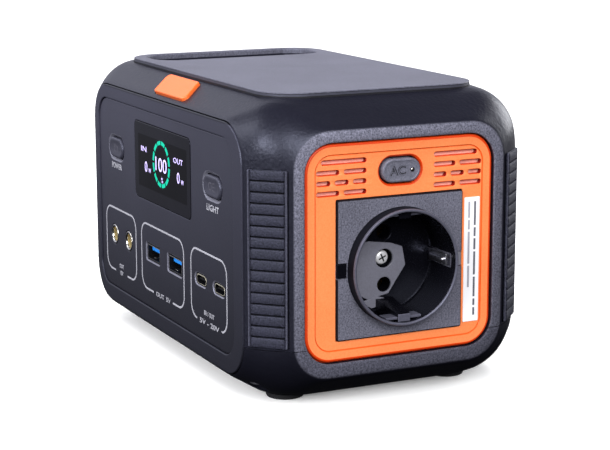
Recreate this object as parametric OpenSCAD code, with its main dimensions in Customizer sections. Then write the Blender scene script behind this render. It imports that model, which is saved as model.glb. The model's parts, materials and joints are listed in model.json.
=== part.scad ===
// Portable power station for camping: battery pack, inverter and charger in a
// two-shell case, with one earthed mains socket, a control panel and a lamp.
// Millimetres. +Z up, +X out of the mains socket, -Y out of the control panel.
// The origin is under the middle of the case, on the surface it stands on.

/* [Case] */
// Length between the two end faces of the case
body_l = 178.5; // [176:0.5:181]
// Width across the two side faces
body_w = 109.2; // [108.4:0.2:112]
// Height of the shells, under the top plate
shell_h = 107.8; // [107.4:0.2:109]
// Wall thickness of the shells
wall = 2.6; // [2.2:0.1:2.8]
// Height of the seam between lower and upper shell
seam_z = 23; // [22:0.5:23.5]
// Thickness of the top plate
top_t = 2; // [1.6:0.1:3]
// Gap around inset panels
gap = 0.2; // [0.1:0.05:0.3]

/* [Handle] */
// Length of the finger slot, across the case
slot_w = 72.6; // [60:1:73]
// Width of the finger slot, along the case
slot_l = 24; // [20:1:24]

/* [Mains socket] */
// Side of the square socket plate
plate_w = 49.5; // [46:0.5:49.5]
// Outer radius of the round collar
collar_r = 20.66; // [20.4:0.1:22]
// Radius of the plug well
well_r = 19.5; // [19.5:0.1:20]
// Depth of the plug well from the rim
well_d = 17.5; // [17:0.1:17.5]
// Spacing of the two pin holes
pin_pitch = 19; // [19:0.1:19.2]
// Radius of each pin hole
pin_r = 2.6; // [2.5:0.05:2.8]

/* [Buttons] */
// Travel of each push button
travel = 0.5; // [0.3:0.05:0.55]
// Length of a front panel button
fb_l = 15.6; // [14:0.1:15.8]
// Height of a front panel button
fb_h = 8; // [7:0.1:8.2]

/* [Battery] */
// Radius of one cell
cell_r = 9.2; // [9:0.05:9.3]
// Length of one cell
cell_l = 65; // [60:0.5:65]
// Spacing of the cells
cell_p = 19.3; // [18.9:0.1:19.3]

/* [Fan] */
// Centre height of the fan
fan_z = 33.5; // [33.5:0.1:34]
// Number of fan blades
fan_n = 7; // [5:1:9]

/* [Hidden] */
$fn = 64;

// case faces
xa = 87;                      // socket end face
xf = xa - body_l;             // far end face
xm = (xa + xf) / 2;
ys = body_w / 2;              // side faces
zb = 2;                       // underside of the case, the feet reach 0
zt = shell_h;
// flat field of each face: half sizes and corner radii
ye = 42.2;  za0 = 10.8; za1 = 99.55; ra = 14.5;
xb0 = xf + 12.2; xb1 = xa - 12.2; zb0 = 9; zb1 = 101.2; rb = 16;
xc0 = xf + 14.5; xc1 = xa - 14.5; yc = 43.2; rc = 15;
// front panel
px0 = -73; px1 = 65.8; pz0 = 17; pz1 = 94.1;
pcx = (px0 + px1) / 2; pcz = (pz0 + pz1) / 2; pw = px1 - px0; ph = pz1 - pz0;
yp = -ys + 0.6;               // face of the control panel
pt = 2;                       // its thickness
yb = yp + 11;                 // face of the control board
power_x = -53.3; light_x = 46.7; btn_z = 75;
dc_x = [-57.7, -41.3]; ua_x = [-14.1, 8.7]; uc_x = [34.5, 51.5]; port_z = 38.8;
disp_x = -2.9; disp_z = 74.25; disp_w = 58; disp_h = 29.9;
// socket end
xo = xa - 1;                  // face of the orange panel
oz0 = 17.4; oz1 = 94; ocz = (oz0 + oz1) / 2; ow = 73.8; oh = oz1 - oz0;
sz = 49.5;                    // socket centre height
rim_x = 91.5; floor_x = rim_x - well_d;
acb_z = 83;
// handle
slot_x = -59.5; slot_r = 9; pass_z0 = 78; pass_z1 = 95;
// far end
fz1 = 72; fcz = (oz0 + fz1) / 2; fh = fz1 - oz0; lamp_z = 62;
// battery grid
cols = 6; rows = 3; bx0 = -67.5; bz0 = zb + wall;
bl = cols * cell_p; bh = rows * cell_p; hold_z = bz0 + bh;
// screw posts
posts = [[67.5, 46], [67.5, -46], [-72, 46], [-72, -46]];
seat_z = 10;                  // underside of the wall that the screw heads pull on
feet_p = [[61.5, 33], [61.5, -33], [-66, 33], [-66, -33]];
board_z = 68;                 // underside of the inverter board

// ---- outlines ----
module rrect(w, h, r) {
  square([w, h - 2 * r], center = true);
  square([w - 2 * r, h], center = true);
  for (sx = [-1, 1], sy = [-1, 1]) translate([sx * (w / 2 - r), sy * (h / 2 - r)]) circle(r = r);
}
module stadium(w, h) {
  square([w - h, h], center = true);
  for (s = [-1, 1]) translate([s * (w - h) / 2, 0]) circle(r = h / 2);
}
// extrude an outline drawn in (y,z) along +X, in (x,z) along +Y, in (x,y) along +Z
module alongx(x0, t) translate([x0, 0, 0]) rotate([90, 0, 90]) linear_extrude(t) children();
module alongy(y0, t) translate([0, y0 + t, 0]) rotate([90, 0, 0]) linear_extrude(t) children();
module alongz(z0, t) translate([0, 0, z0]) linear_extrude(t) children();

// The case is the convex blend of three flat-faced slabs, inset by d all round
module body(d, e) {
  hull($fn = 40) {
    alongx(xf + d, body_l - 2 * d) translate([0, (za0 + za1) / 2]) rrect(2 * (ye - e), za1 - za0 - 2 * e, ra - e, $fn = 40);
    alongy(-ys + d, body_w - 2 * d) translate([(xb0 + xb1) / 2, (zb0 + zb1) / 2]) rrect(xb1 - xb0 - 2 * e, zb1 - zb0 - 2 * e, rb - e, $fn = 40);
    alongz(zb + d, zt - zb - 2 * d) translate([(xc0 + xc1) / 2, 0]) rrect(xc1 - xc0 - 2 * e, 2 * (yc - e), rc - e, $fn = 40);
  }
}
// local frame on each corner column: +x out of the column, +y across it
grip_a = atan2(xa - xb1, ys - ye);
module corners() {
  for (mx = [0, 1], my = [0, 1])
    translate([xm, 0, 0]) mirror([mx, 0, 0]) mirror([0, my, 0]) translate([-xm, 0, 0])
      translate([(xa + xb1) / 2, (ye + ys) / 2, 0]) rotate([0, 0, grip_a]) children();
}
grip_w = 14.6; grip_z0 = seam_z + 0.9; grip_z1 = 85.9; grip_n = 16;
grip_p = (grip_z1 - grip_z0) / grip_n;

module shell_raw() {
  difference() { body(0, 0); body(wall, wall * 0.46); }
}
module openings() {
  // front: seat of the bezel
  alongy(-ys - 1, wall + 2) translate([(xb0 + xb1) / 2, (zb0 + zb1) / 2]) rrect(xb1 - xb0 - 2, zb1 - zb0 - 2, rb - 1);
  // socket end and far end
  alongx(xa - wall - 2, wall + 3) translate([0, ocz]) rrect(ow + 2 * gap, oh + 2 * gap, 10 + gap);
  alongx(xf - 1, wall + 3) translate([0, fcz]) rrect(ow + 2 * gap, fh + 2 * gap, 10 + gap);
  // finger passage
  alongx(xf - 1, wall + 3) translate([0, (pass_z0 + pass_z1) / 2]) rrect(slot_w, pass_z1 - pass_z0, 5);
  alongz(zt - wall - 2, wall + 3) translate([slot_x, 0]) rrect(slot_l, slot_w, slot_r);
  // pockets of the grip pads
  corners() translate([-1.2, -grip_w / 2 - 0.1, grip_z0 - 0.1]) cube([4, grip_w + 0.2, grip_z1 - grip_z0 + 0.2]);
  // badge pocket
  on_chamfer() translate([0, 0, -1.1]) linear_extrude(3) badge_shape(2.2);
}

module lower_shell() color("#2e2c38") difference() {
  union() {
    intersection() {
      shell_raw();
      translate([-150, -100, -10]) cube([300, 200, 10 + seam_z]);
    }
    intersection() {
      body(0, 0);
      for (p = posts) translate([p.x, p.y, 0]) {
        cylinder(r = 4, h = seam_z);
        cylinder(r = 5, h = seat_z + 1.6);
      }
    }
  }
  openings();
  for (p = posts) translate([p.x, p.y, 0]) {
    cylinder(r = 1.8, h = 40);
    cylinder(r = 3.5, h = seat_z);
  }
  for (p = feet_p) translate([p.x, p.y, 0]) cylinder(r = 2.6, h = 10);
}
module upper_shell() color("#34323e") difference() {
  union() {
    intersection() {
      shell_raw();
      translate([-150, -100, seam_z]) cube([300, 200, 200]);
    }
    intersection() {
      body(0, 0);
      for (p = posts) translate([p.x, p.y, seam_z]) cylinder(r = 4, h = 100);
    }
  }
  openings();
  for (p = posts) translate([p.x, p.y, seam_z - 1]) cylinder(r = 1.65, h = 16);
}

module top_plate() color("#8f8f9b") alongz(zt, top_t) difference() {
  translate([(xc0 + xc1) / 2 + 0.25, 0]) rrect(xc1 - xc0 - 2.5, 84, rc - 0.5);
  translate([slot_x, 0]) rrect(slot_l, slot_w, slot_r);
}

module handle_liner() color("#3b3944") difference() {
  union() {
    alongz(pass_z0 - 2, zt - wall - pass_z0 + 2) translate([slot_x, 0]) rrect(slot_l + 4, slot_w + 4, slot_r + 2);
    alongx(xf + wall, slot_x - slot_l / 2 + 3 - xf - wall) translate([0, (pass_z0 + pass_z1) / 2]) rrect(slot_w + 4, pass_z1 - pass_z0 + 4, 7);
  }
  alongz(pass_z0, 60) translate([slot_x, 0]) rrect(slot_l, slot_w, slot_r);
  alongx(xf - 1, slot_x + 2 - xf) translate([0, (pass_z0 + pass_z1) / 2]) rrect(slot_w, pass_z1 - pass_z0, 5);
}

module front_bezel() color("#3a3843") difference() {
  union() {
    alongy(-ys, wall) translate([(xb0 + xb1) / 2, (zb0 + zb1) / 2]) rrect(xb1 - xb0 - 2, zb1 - zb0 - 2, rb - 1);
    alongy(yp + pt, 1.6) translate([pcx, pcz]) rrect(pw + 4, ph + 4, 10);
  }
  alongy(-ys - 1, yp + pt + ys + 1) translate([pcx, pcz]) rrect(pw + 2 * gap, ph + 2 * gap, 9 + gap);
  alongy(-ys, 8) translate([pcx, pcz]) rrect(pw - 6, ph - 6, 7);
}

module at_xz(x, z) translate([x, 0, z]) children();
module control_panel() color("#45444e") {
  difference() {
    alongy(yp, pt) translate([pcx, pcz]) rrect(pw, ph, 9);
    alongy(yp - 1, 4) translate([disp_x, disp_z]) rrect(disp_w + 0.4, disp_h + 0.4, 2.5);
    for (x = [power_x, light_x]) alongy(yp - 1, 4) translate([x, btn_z]) stadium(fb_l + 0.8, fb_h + 0.8);
    for (x = dc_x) alongy(yp - 1, 4) translate([x, port_z]) circle(r = 4.2);
    for (x = ua_x) alongy(yp - 1, 4) translate([x, port_z + 0.2]) rrect(14.4, 6.8, 0.8);
    for (x = uc_x) alongy(yp - 1, 4) translate([x, port_z]) stadium(10.8, 4.4);
  }
}
module panel_spacers() color("#26252e") for (x = [-63, 57], z = [23.4, 87])
  at_xz(x, z) alongy(yp + pt, yb - yp - pt) circle(r = 2.2);
module display_window() color("#1d1c25") alongy(yp - 0.1, 1.6) translate([disp_x, disp_z]) rrect(disp_w, disp_h, 2.3);
module display_module() color("#30303a") {
  alongy(yp + 1.5, 3.6) translate([disp_x, disp_z]) square([54, 26.4], center = true);
  for (sx = [-1, 1], sz2 = [-1, 1]) alongy(yp + 5.1, yb - yp - 5.1) translate([disp_x + 24 * sx, disp_z + 10 * sz2]) circle(r = 1.5);
}
module front_button(x) {
  alongy(yp - 0.5, 3.8) translate([x, btn_z]) stadium(fb_l, fb_h);
  alongy(yp + pt + 0.1, 1.2) translate([x, btn_z]) stadium(fb_l + 3, fb_h + 3);
  alongy(yp + 3.3, 2.6) translate([x, btn_z]) circle(r = 2);
}
module power_button() color("#46454f") front_button(power_x);
module light_button() color("#46454f") front_button(light_x);
// tact switches on the control board, plunger stopping short of the button posts
module panel_switches() color("#18181c") for (x = [power_x, light_x]) {
  alongy(yb - 3.5, 3.5) translate([x, btn_z]) square(6, center = true);
  alongy(yb - 4.5, 1) translate([x, btn_z]) circle(r = 1.7);
}
module dc_jacks() color("#b9b9bd") for (x = dc_x) at_xz(x, port_z) difference() {
  union() {
    alongy(yp - 0.1, yb - yp + 0.1) circle(r = 4);
    alongy(yp + 2.2, yb - yp - 2.2) square(9.6, center = true);
  }
  alongy(yp - 1, yb - yp - 0.8) difference() { circle(r = 2.9); circle(r = 1.05); }
  alongy(yp - 1, 1.6) circle(r = 2.9);
}
module usb_a_shells() color("#9c9ca2") for (x = ua_x) at_xz(x, port_z + 0.2) difference() {
  alongy(yp + 0.4, yb - yp - 0.4) rrect(13.2, 5.8, 0.6);
  alongy(yp - 1, yb - yp + 0.5) rrect(12.5, 5.1, 0.4);
}
module usb_a_tongues() color("#1e88ff") for (x = ua_x) at_xz(x, port_z + 1.1)
  alongy(yp + 1.2, yb - yp - 1.7) square([11.2, 1.9], center = true);
module usb_c_shells() color("#c9b271") for (x = uc_x) at_xz(x, port_z) difference() {
  alongy(yp + 0.3, yb - yp - 0.3) stadium(9.2, 3.6);
  alongy(yp - 1, yb - yp + 0.5) stadium(8.6, 3);
}
module usb_c_tongues() color("#16161a") for (x = uc_x) at_xz(x, port_z)
  alongy(yp + 1, yb - yp - 1.5) square([6.7, 0.7], center = true);
module control_board() color("#1f5a3c") alongy(yb, 1.6) translate([-3, 56]) rrect(126, 72, 1);

// local frame on the front top chamfer: +z out of it, +y up the slope
ch_a = atan2(zt - zb1, ys - yc);
module on_chamfer() translate([-2.2, -(ys + yc) / 2, (zb1 + zt) / 2]) rotate([ch_a, 0, 0]) children();
// slanted outline of the badge, its ends leaning with the top edge further back
module badge_shape(r) hull() for (p = [[-9.8, -2.6], [16.4, -2.6], [12, 4.2], [-14.1, 4.2]])
  translate(p) circle(r = r, $fn = 32);
module badge() color("#ff7d3c") on_chamfer() translate([0, 0, -1.1]) linear_extrude(1.6) badge_shape(1.8);

// vent slots: [z, [[y0, y1], ...]]
vents = [[87.5, [[13.4, 30.4]]], [83.9, [[13.4, 21.7], [23.8, 32.2]]],
  [80.3, [[13.4, 18.2], [20.2, 25.2], [27.2, 32.2]]], [76.7, [[13.4, 21.7], [23.8, 32.2]]]];
module ac_end_panel() color("#ff7d3c") {
  difference() {
    union() {
      alongx(xo - 2.6, 2.6) translate([0, ocz]) rrect(ow, oh, 10);
      alongx(xa - wall - 2.2, 2.2) translate([0, ocz]) difference() { rrect(ow + 4.8, oh + 4.8, 12); rrect(70, 72.6, 8); }
      for (s = [-1, 1]) alongx(74, xo - 2.6 - 74) translate([s * 11.2, acb_z]) circle(r = 1.6);
    }
    alongx(xo - 3, 4) translate([0, sz]) square(plate_w + 0.4, center = true);
    alongx(xo - 3, 4) translate([0, acb_z]) stadium(16.2, 9.5);
    for (v = vents, s = v[1], m = [-1, 1])
      translate([xo - 3, m > 0 ? s[0] : -s[1], v[0] - 0.65]) cube([4, s[1] - s[0], 1.3]);
  }
}
module ac_button() color("#5c5c66") {
  alongx(82.1, 4.6) translate([0, acb_z]) stadium(15, 8.3);
  alongx(82.1, 1.2) translate([0, acb_z]) stadium(18, 11.3);
  alongx(79.6, 2.5) translate([0, acb_z]) circle(r = 2);
}
module ac_switch_board() color("#1f5a3c") {
  alongx(72.4, 1.6) translate([0, acb_z]) rrect(27, 11.6, 1);
  alongx(74, 3.5) translate([0, acb_z]) square(6, center = true);
  alongx(77.5, 1.5) translate([0, acb_z]) circle(r = 1.7);
}
module rating_label() color("#f4f4f6") translate([xo, 25.8, 26]) cube([0.15, 6.2, 45.2]);

module socket_body() color("#3c3c46") difference() {
  union() {
    difference() {
      union() {
        alongx(81.4, 2) translate([0, sz]) square(54, center = true);
        alongx(83.4, 3.1) translate([0, sz]) rrect(plate_w, plate_w, 0.8);
        alongx(86.5, rim_x - 86.5) translate([0, sz]) circle(r = collar_r);
        alongx(68, 13.4) translate([0, sz]) circle(r = 22);
      }
      alongx(floor_x, 30) translate([0, sz]) circle(r = well_r);
      // side channels of the earth clips in the square plate
      for (s = [-1, 1]) translate([85, s * 22.8 - 2.2, sz - 2.8]) cube([3, 4.4, 5.6]);
    }
    for (s = [-1, 1]) alongx(58, 12) translate([0, sz + s * pin_pitch / 2]) circle(r = 5.2);
    alongx(58, 12) translate([0, sz]) circle(r = 3.2);
    // guide blocks for the plug
    for (s = [-1, 1]) translate([floor_x - 1, -2.4, s > 0 ? sz + 16.6 : sz - 19.7]) cube([16.6, 4.8, 3.1]);
  }
  for (s = [-1, 1]) alongx(60, 20) translate([0, sz + s * pin_pitch / 2]) circle(r = pin_r);
  for (s = [-1, 1]) alongx(57, 12) translate([0, sz + s * pin_pitch / 2]) circle(r = 3.4);
  alongx(57, 20) translate([0, sz]) circle(r = 1.6);
  alongx(71, 10) translate([0, sz]) circle(r = 3.4);
  for (s = [-1, 1]) translate([57, s > 0 ? 18.2 : -20.4, sz - 2.6]) cube([31, 2.2, 5.2]);
}
module socket_contacts() color("#c8a24a") for (s = [-1, 1]) translate([0, 0, sz + s * pin_pitch / 2]) {
  difference() {
    union() {
      alongx(60, 9) circle(r = 3.3);
      translate([53, -1, s > 0 ? 2.5 : -3.2]) cube([8, 2, 0.7]);
    }
    alongx(59, 11) circle(r = pin_r + 0.02);
  }
}
module earth_clips() color("#b4b4b8") translate([0, 0, sz]) {
  translate([57, -19.2, -2.4]) cube([1, 38.4, 4.8]);
  for (s = [-1, 1]) {
    translate([57, s > 0 ? 18.4 : -19.2, -2]) cube([29, 0.8, 4]);
    alongx(76, 9) translate([s * 18.2, 0]) circle(r = 1);
  }
}
module socket_screw() color("#d8d8da") difference() {
  union() {
    alongx(71, 2) translate([0, sz]) circle(r = 2.6);
    alongx(58, 13) translate([0, sz]) circle(r = 1.5);
  }
  for (a = [0, 90]) translate([72.2, 0, sz]) rotate([a + 20, 0, 0]) translate([0, -1.6, -0.35]) cube([2, 3.2, 0.7]);
}

module far_end_panel() color("#ff7d3c") difference() {
  union() {
    alongx(xf + 1, 2.6) translate([0, fcz]) rrect(ow, fh, 10);
    alongx(xf + wall, 2.2) translate([0, fcz]) difference() { rrect(ow + 4.8, fh + 4.8, 12); rrect(70, fh - 4, 8); }
  }
  alongx(xf, 5) translate([0, lamp_z]) rrect(46, 12, 3);
  for (k = [-4:4]) translate([xf, -sqrt(17 * 17 - 12.25 * k * k), fan_z + 3.5 * k - 0.7])
    for (h = [0, 1]) translate([0, h * (sqrt(17 * 17 - 12.25 * k * k) + 0.75), 0])
      cube([5, sqrt(17 * 17 - 12.25 * k * k) - 0.75, 1.4]);
}
module lamp_lens() color("#f2f2ee") {
  alongx(xf + 0.6, 3) translate([0, lamp_z]) rrect(45.6, 11.6, 2.8);
  alongx(xf + 3.6, 1) translate([0, lamp_z]) rrect(49, 14.6, 3);
}
module lamp_reflector() color("#d5d5d8") difference() {
  alongx(xf + 4.6, 5) translate([0, lamp_z]) rrect(49, 14.6, 3);
  for (i = [-2:2]) translate([xf + 4.5, 9.2 * i, lamp_z]) rotate([0, 90, 0]) cylinder(r1 = 4.3, r2 = 2.6, h = 5.2);
}
module lamp_board() color("#e9e9e4") {
  alongx(xf + 9.6, 1.4) translate([0, lamp_z]) rrect(49, 14.6, 1);
  for (i = [-2:2]) translate([xf + 8.7, 9.2 * i - 1.5, lamp_z - 1.5]) cube([0.9, 3, 3]);
}
fx = xf + wall + 2.2;         // fan frame sits on the lip of the far panel
module fan_frame() color("#222226") translate([fx, 0, fan_z]) {
  difference() {
    alongx(0, 10) rrect(40, 40, 3);
    alongx(-1, 12) circle(r = 18.7);
    for (sy = [-1, 1], s2 = [-1, 1]) alongx(-1, 12) translate([16 * sy, 16 * s2]) circle(r = 1.7);
  }
  alongx(8.5, 1.5) circle(r = 8);
  for (a = [45:90:315]) rotate([a, 0, 0]) translate([8.5, -1.2, 7.5]) cube([1.5, 2.4, 11.5]);
  alongx(1.9, 6.6) circle(r = 1);
}
module fan_rotor() color("#2b2b30") translate([fx, 0, fan_z]) {
  difference() {
    alongx(0.7, 7.2) circle(r = 8);
    alongx(1.7, 7) circle(r = 1.06);
  }
  for (i = [0:fan_n - 1]) rotate([360 / fan_n * i, 0, 0])
    translate([4.3, 0, 12.6]) rotate([0, 0, 40]) cube([7, 1.2, 10], center = true);
}

module corner_grips() color("#3a3944") corners() {
  rotate([90, 0, 0]) translate([0, 0, -grip_w / 2]) linear_extrude(grip_w) {
    translate([-1.2, grip_z0]) square([1.3, grip_z1 - grip_z0]);
    for (i = [0:grip_n - 1]) intersection() {
      translate([-1.65, grip_z0 + grip_p * (i + 0.5)]) circle(r = 2.6);
      translate([0, grip_z0 + grip_p * i + 0.12]) square([3, grip_p - 0.24]);
    }
  }
}
module feet() color("#1a1a1e") for (p = feet_p) translate([p.x, p.y, 0]) {
  cylinder(r = 7, h = zb);
  cylinder(r = 2.5, h = zb + wall);
}
module case_screws() color("#8a8a90") for (p = posts) translate([p.x, p.y, 0]) difference() {
  union() {
    translate([0, 0, seat_z - 1.9]) cylinder(r = 3.1, h = 1.9);
    translate([0, 0, seat_z]) cylinder(r = 1.55, h = 26);
  }
  for (a = [0, 90]) rotate([0, 0, a]) translate([-1.7, -0.4, 0]) cube([3.4, 0.8, seat_z - 0.7]);
}

module cell_holders() color("#303034") for (s = [-1, 1]) {
  difference() {
    translate([bx0, s > 0 ? cell_l / 2 - 8 : -cell_l / 2, bz0]) cube([bl, 8, bh]);
    for (i = [0:cols - 1], j = [0:rows - 1]) translate([bx0 + cell_p * (i + 0.5), 0, bz0 + cell_p * (j + 0.5)])
      rotate([90, 0, 0]) cylinder(r = cell_r + 0.1, h = cell_l + 2, center = true);
  }
  for (x = [-36, 44]) translate([x, s * (cell_l / 2 - 4), hold_z]) cylinder(r = 3, h = board_z - hold_z);
}
module battery_cells() color("#3f7f5f") for (i = [0:cols - 1], j = [0:rows - 1])
  translate([bx0 + cell_p * (i + 0.5), 0, bz0 + cell_p * (j + 0.5)]) rotate([90, 0, 0]) cylinder(r = cell_r, h = cell_l, center = true);
// nickel strips across the cell ends, staggered to put the groups in series
module bus_bars() color("#c4c4c0") {
  for (g = [0:2]) translate([bx0 + cell_p * 2 * g + 5, -cell_l / 2 - 0.3, bz0 + 4]) cube([2 * cell_p - 10, 0.3, bh - 8]);
  for (g = [0:1]) translate([bx0 + cell_p * (2 * g + 1) + 5, cell_l / 2, bz0 + 4]) cube([2 * cell_p - 10, 0.3, bh - 8]);
  for (g = [0, 5]) translate([bx0 + cell_p * g + 4, cell_l / 2, bz0 + 4]) cube([cell_p - 8, 0.3, bh - 8]);
}
module battery_board() color("#1f5a3c") {
  translate([50, -30, 8]) cube([1.6, 60, 54]);
  for (y = [-22, 22], z = [14, 52]) translate([bx0 + bl, y, z]) rotate([0, 90, 0]) cylinder(r = 2, h = 50 - bx0 - bl);
  for (i = [0:3]) translate([51.6, -24 + 9 * i, 14]) cube([1.6, 5, 6]);
  translate([51.6, -6, 28]) cube([1.4, 7, 7]);
}
module inverter_board() color("#1f5a3c") {
  translate([-42, -36, board_z]) cube([97.5, 86, 1.6]);
  for (i = [0:3]) translate([-20 + 14 * i, 28, board_z + 1.6]) cube([9, 4, 12]);
  translate([36, 12, board_z + 1.6]) cube([14, 14, 9]);
}
cz = board_z + 1.6;
module transformer_core() color("#3d3d40") difference() {
  translate([8, -26, cz]) cube([34, 18, 26]);
  for (x = [13, 29]) translate([x, -27, cz + 5]) cube([8, 20, 16]);
}
module transformer_winding() color("#d9a441") difference() {
  translate([13.2, -30, cz + 5.2]) cube([23.6, 26, 15.6]);
  translate([20.8, -26.2, cz + 5]) cube([8.4, 18.4, 16]);
}
module bulk_capacitors() color("#23262e") for (i = [0:2]) translate([-32 + 14 * i, -24, cz]) cylinder(r = 6.2, h = 24);
module heat_sink() color("#a9abb0") {
  translate([-38, 44, cz]) cube([68, 3, 28]);
  for (i = [0:6]) translate([-38, 34, cz + 13 + 2.3 * i]) cube([68, 10.2, 1]);
}
module lead(a, b, r) {
  d = b - a; l = norm(d);
  translate(a) rotate([0, acos(d.z / l), atan2(d.y, d.x)]) cylinder(r = r, h = l, $fn = 24);
}
module battery_leads() color("#b3262a") for (y = [9, 15]) {
  lead([51.6, y, 55], [54.2, y, 55], 1.2);
  translate([54.2, y, 55]) sphere(r = 1.2, $fn = 24);
  lead([54.2, y, 55], [54.2, y, board_z], 1.2);
}
module mains_leads() color("#5a3a22") {
  lead([54.2, 0, sz + pin_pitch / 2 + 3.2], [54.2, 0, board_z], 1);
  lead([54.2, -1, sz - pin_pitch / 2 - 2.85], [54.2, -6, sz - pin_pitch / 2 - 2.85], 1);
  translate([54.2, -6, sz - pin_pitch / 2 - 2.85]) sphere(r = 1, $fn = 24);
  lead([54.2, -6, sz - pin_pitch / 2 - 2.85], [54.2, -6, board_z], 1);
}

lower_shell();
upper_shell();
top_plate();
handle_liner();
front_bezel();
control_panel();
panel_spacers();
display_window();
display_module();
power_button();
light_button();
panel_switches();
dc_jacks();
usb_a_shells();
usb_a_tongues();
usb_c_shells();
usb_c_tongues();
control_board();
badge();
ac_end_panel();
ac_button();
ac_switch_board();
rating_label();
socket_body();
socket_contacts();
earth_clips();
socket_screw();
far_end_panel();
lamp_lens();
lamp_reflector();
lamp_board();
fan_frame();
fan_rotor();
corner_grips();
feet();
case_screws();
cell_holders();
battery_cells();
bus_bars();
battery_board();
inverter_board();
transformer_core();
transformer_winding();
bulk_capacitors();
heat_sink();
battery_leads();
mains_leads();
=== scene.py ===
import bpy
import bmesh
import json
import math
from mathutils import Vector, Matrix, geometry


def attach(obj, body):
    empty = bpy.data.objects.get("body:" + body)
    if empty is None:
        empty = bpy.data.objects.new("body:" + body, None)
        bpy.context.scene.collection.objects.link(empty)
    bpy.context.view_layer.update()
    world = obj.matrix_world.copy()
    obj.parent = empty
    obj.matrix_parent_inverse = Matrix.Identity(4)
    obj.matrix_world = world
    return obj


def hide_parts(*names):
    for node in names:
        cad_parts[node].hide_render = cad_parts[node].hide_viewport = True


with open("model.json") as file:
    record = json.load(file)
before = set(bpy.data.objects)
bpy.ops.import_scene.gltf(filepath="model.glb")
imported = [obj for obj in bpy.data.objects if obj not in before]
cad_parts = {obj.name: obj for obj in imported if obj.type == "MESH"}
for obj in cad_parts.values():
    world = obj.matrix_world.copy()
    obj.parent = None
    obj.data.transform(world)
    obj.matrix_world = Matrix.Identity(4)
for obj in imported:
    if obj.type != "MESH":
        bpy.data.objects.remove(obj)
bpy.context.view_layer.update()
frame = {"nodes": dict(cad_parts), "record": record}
NODES = frame["nodes"]
S = 0.001
scene = bpy.context.scene
PI = math.pi

# ------------------------------------------------------------------ frames
# local (a, b, c): a to the right and b up on a face, c out of it; all lengths in mm


def FRONT(a, b, c): return (a, -c, b)
def BACK(a, b, c): return (-a, c, b)
def END(a, b, c): return (c, a, b)
def FAR(a, b, c): return (-c, -a, b)
def TOP(a, b, c): return (a, b, c)
def UNDER(a, b, c): return (a, -b, -c)


def plane_frame(o, u, v):
    o, u, v = Vector(o), Vector(u).normalized(), Vector(v).normalized()
    w = u.cross(v)

    def f(a, b, c):
        p = o + u * a + v * b + w * c
        return (p.x, p.y, p.z)
    return f


CH = math.atan2(108.4 - 101.2, 54.6 - 42.5)
CHAMFER = plane_frame((-2.2, -48.9, 104.6), (1, 0, 0), (0, math.cos(CH), math.sin(CH)))
GA = math.atan2(87 - 74.8, 54.6 - 42.2)


def corner_frame(sx, sy):
    n = Vector((sx * math.cos(GA), sy * math.sin(GA), 0))
    ox = 80.9 if sx > 0 else -85.4
    return plane_frame((ox, sy * 48.4, 0), Vector((0, 0, 1)).cross(n), (0, 0, 1))


# ------------------------------------------------------------------ outlines
def rr(w, h, r, cx=0, cy=0, n=8):
    """Outline of a rounded rectangle as a function of how far it is inset."""
    def f(i):
        ww, hh, q = w / 2 - i, h / 2 - i, max(r - i, 0.04)
        q = min(q, ww - 1e-4, hh - 1e-4)
        out = []
        for sx, sy, a0 in ((1, 1, 0), (-1, 1, 90), (-1, -1, 180), (1, -1, 270)):
            for k in range(n + 1):
                t = math.radians(a0 + 90 * k / n)
                out.append((cx + sx * (ww - q) + q * math.cos(t), cy + sy * (hh - q) + q * math.sin(t)))
        return out
    return f


def stad(w, h, cx=0, cy=0, n=10):
    return rr(w, h, h / 2 - 0.001, cx, cy, n)


def circ(r, cx=0, cy=0, n=48):
    def f(i):
        q = max(r - i, 0.01)
        return [(cx + q * math.cos(2 * PI * k / n), cy + q * math.sin(2 * PI * k / n)) for k in range(n)]
    return f


def poly_round(pts, r, n=6):
    """Outline of a convex polygon (corner centres, anticlockwise) grown by r, as a function of the inset."""
    m = len(pts)

    def f(i):
        q = max(r - i, 0.03)
        extra = min(r - i - q, 0)
        out = []
        for k in range(m):
            p0, p1, p2 = Vector(pts[k - 1]), Vector(pts[k]), Vector(pts[(k + 1) % m])
            e0, e1 = (p1 - p0).normalized(), (p2 - p1).normalized()
            n0, n1 = Vector((e0.y, -e0.x)), Vector((e1.y, -e1.x))
            a0, a1 = math.atan2(n0.y, n0.x), math.atan2(n1.y, n1.x)
            while a1 < a0:
                a1 += 2 * PI
            h = n0 + n1
            c = p1 + h * (extra / h.dot(n0))
            for j in range(n + 1):
                t = a0 + (a1 - a0) * j / n
                out.append((c.x + q * math.cos(t), c.y + q * math.sin(t)))
        return out
    return f


def fillet(r, z, n=4):
    """(inset, height) pairs over a rounded outer edge, up to height z."""
    return [(r * (1 - math.cos(PI / 2 * k / n)), z - r * (1 - math.sin(PI / 2 * k / n))) for k in range(n + 1)]


def hole_edge(r, z, n=3):
    """(inset, height) pairs down over the rounded edge of a hole, from height z."""
    return [(-r * (1 - math.sin(PI / 2 * k / n)), z - r * (1 - math.cos(PI / 2 * k / n))) for k in range(n + 1)]


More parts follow.
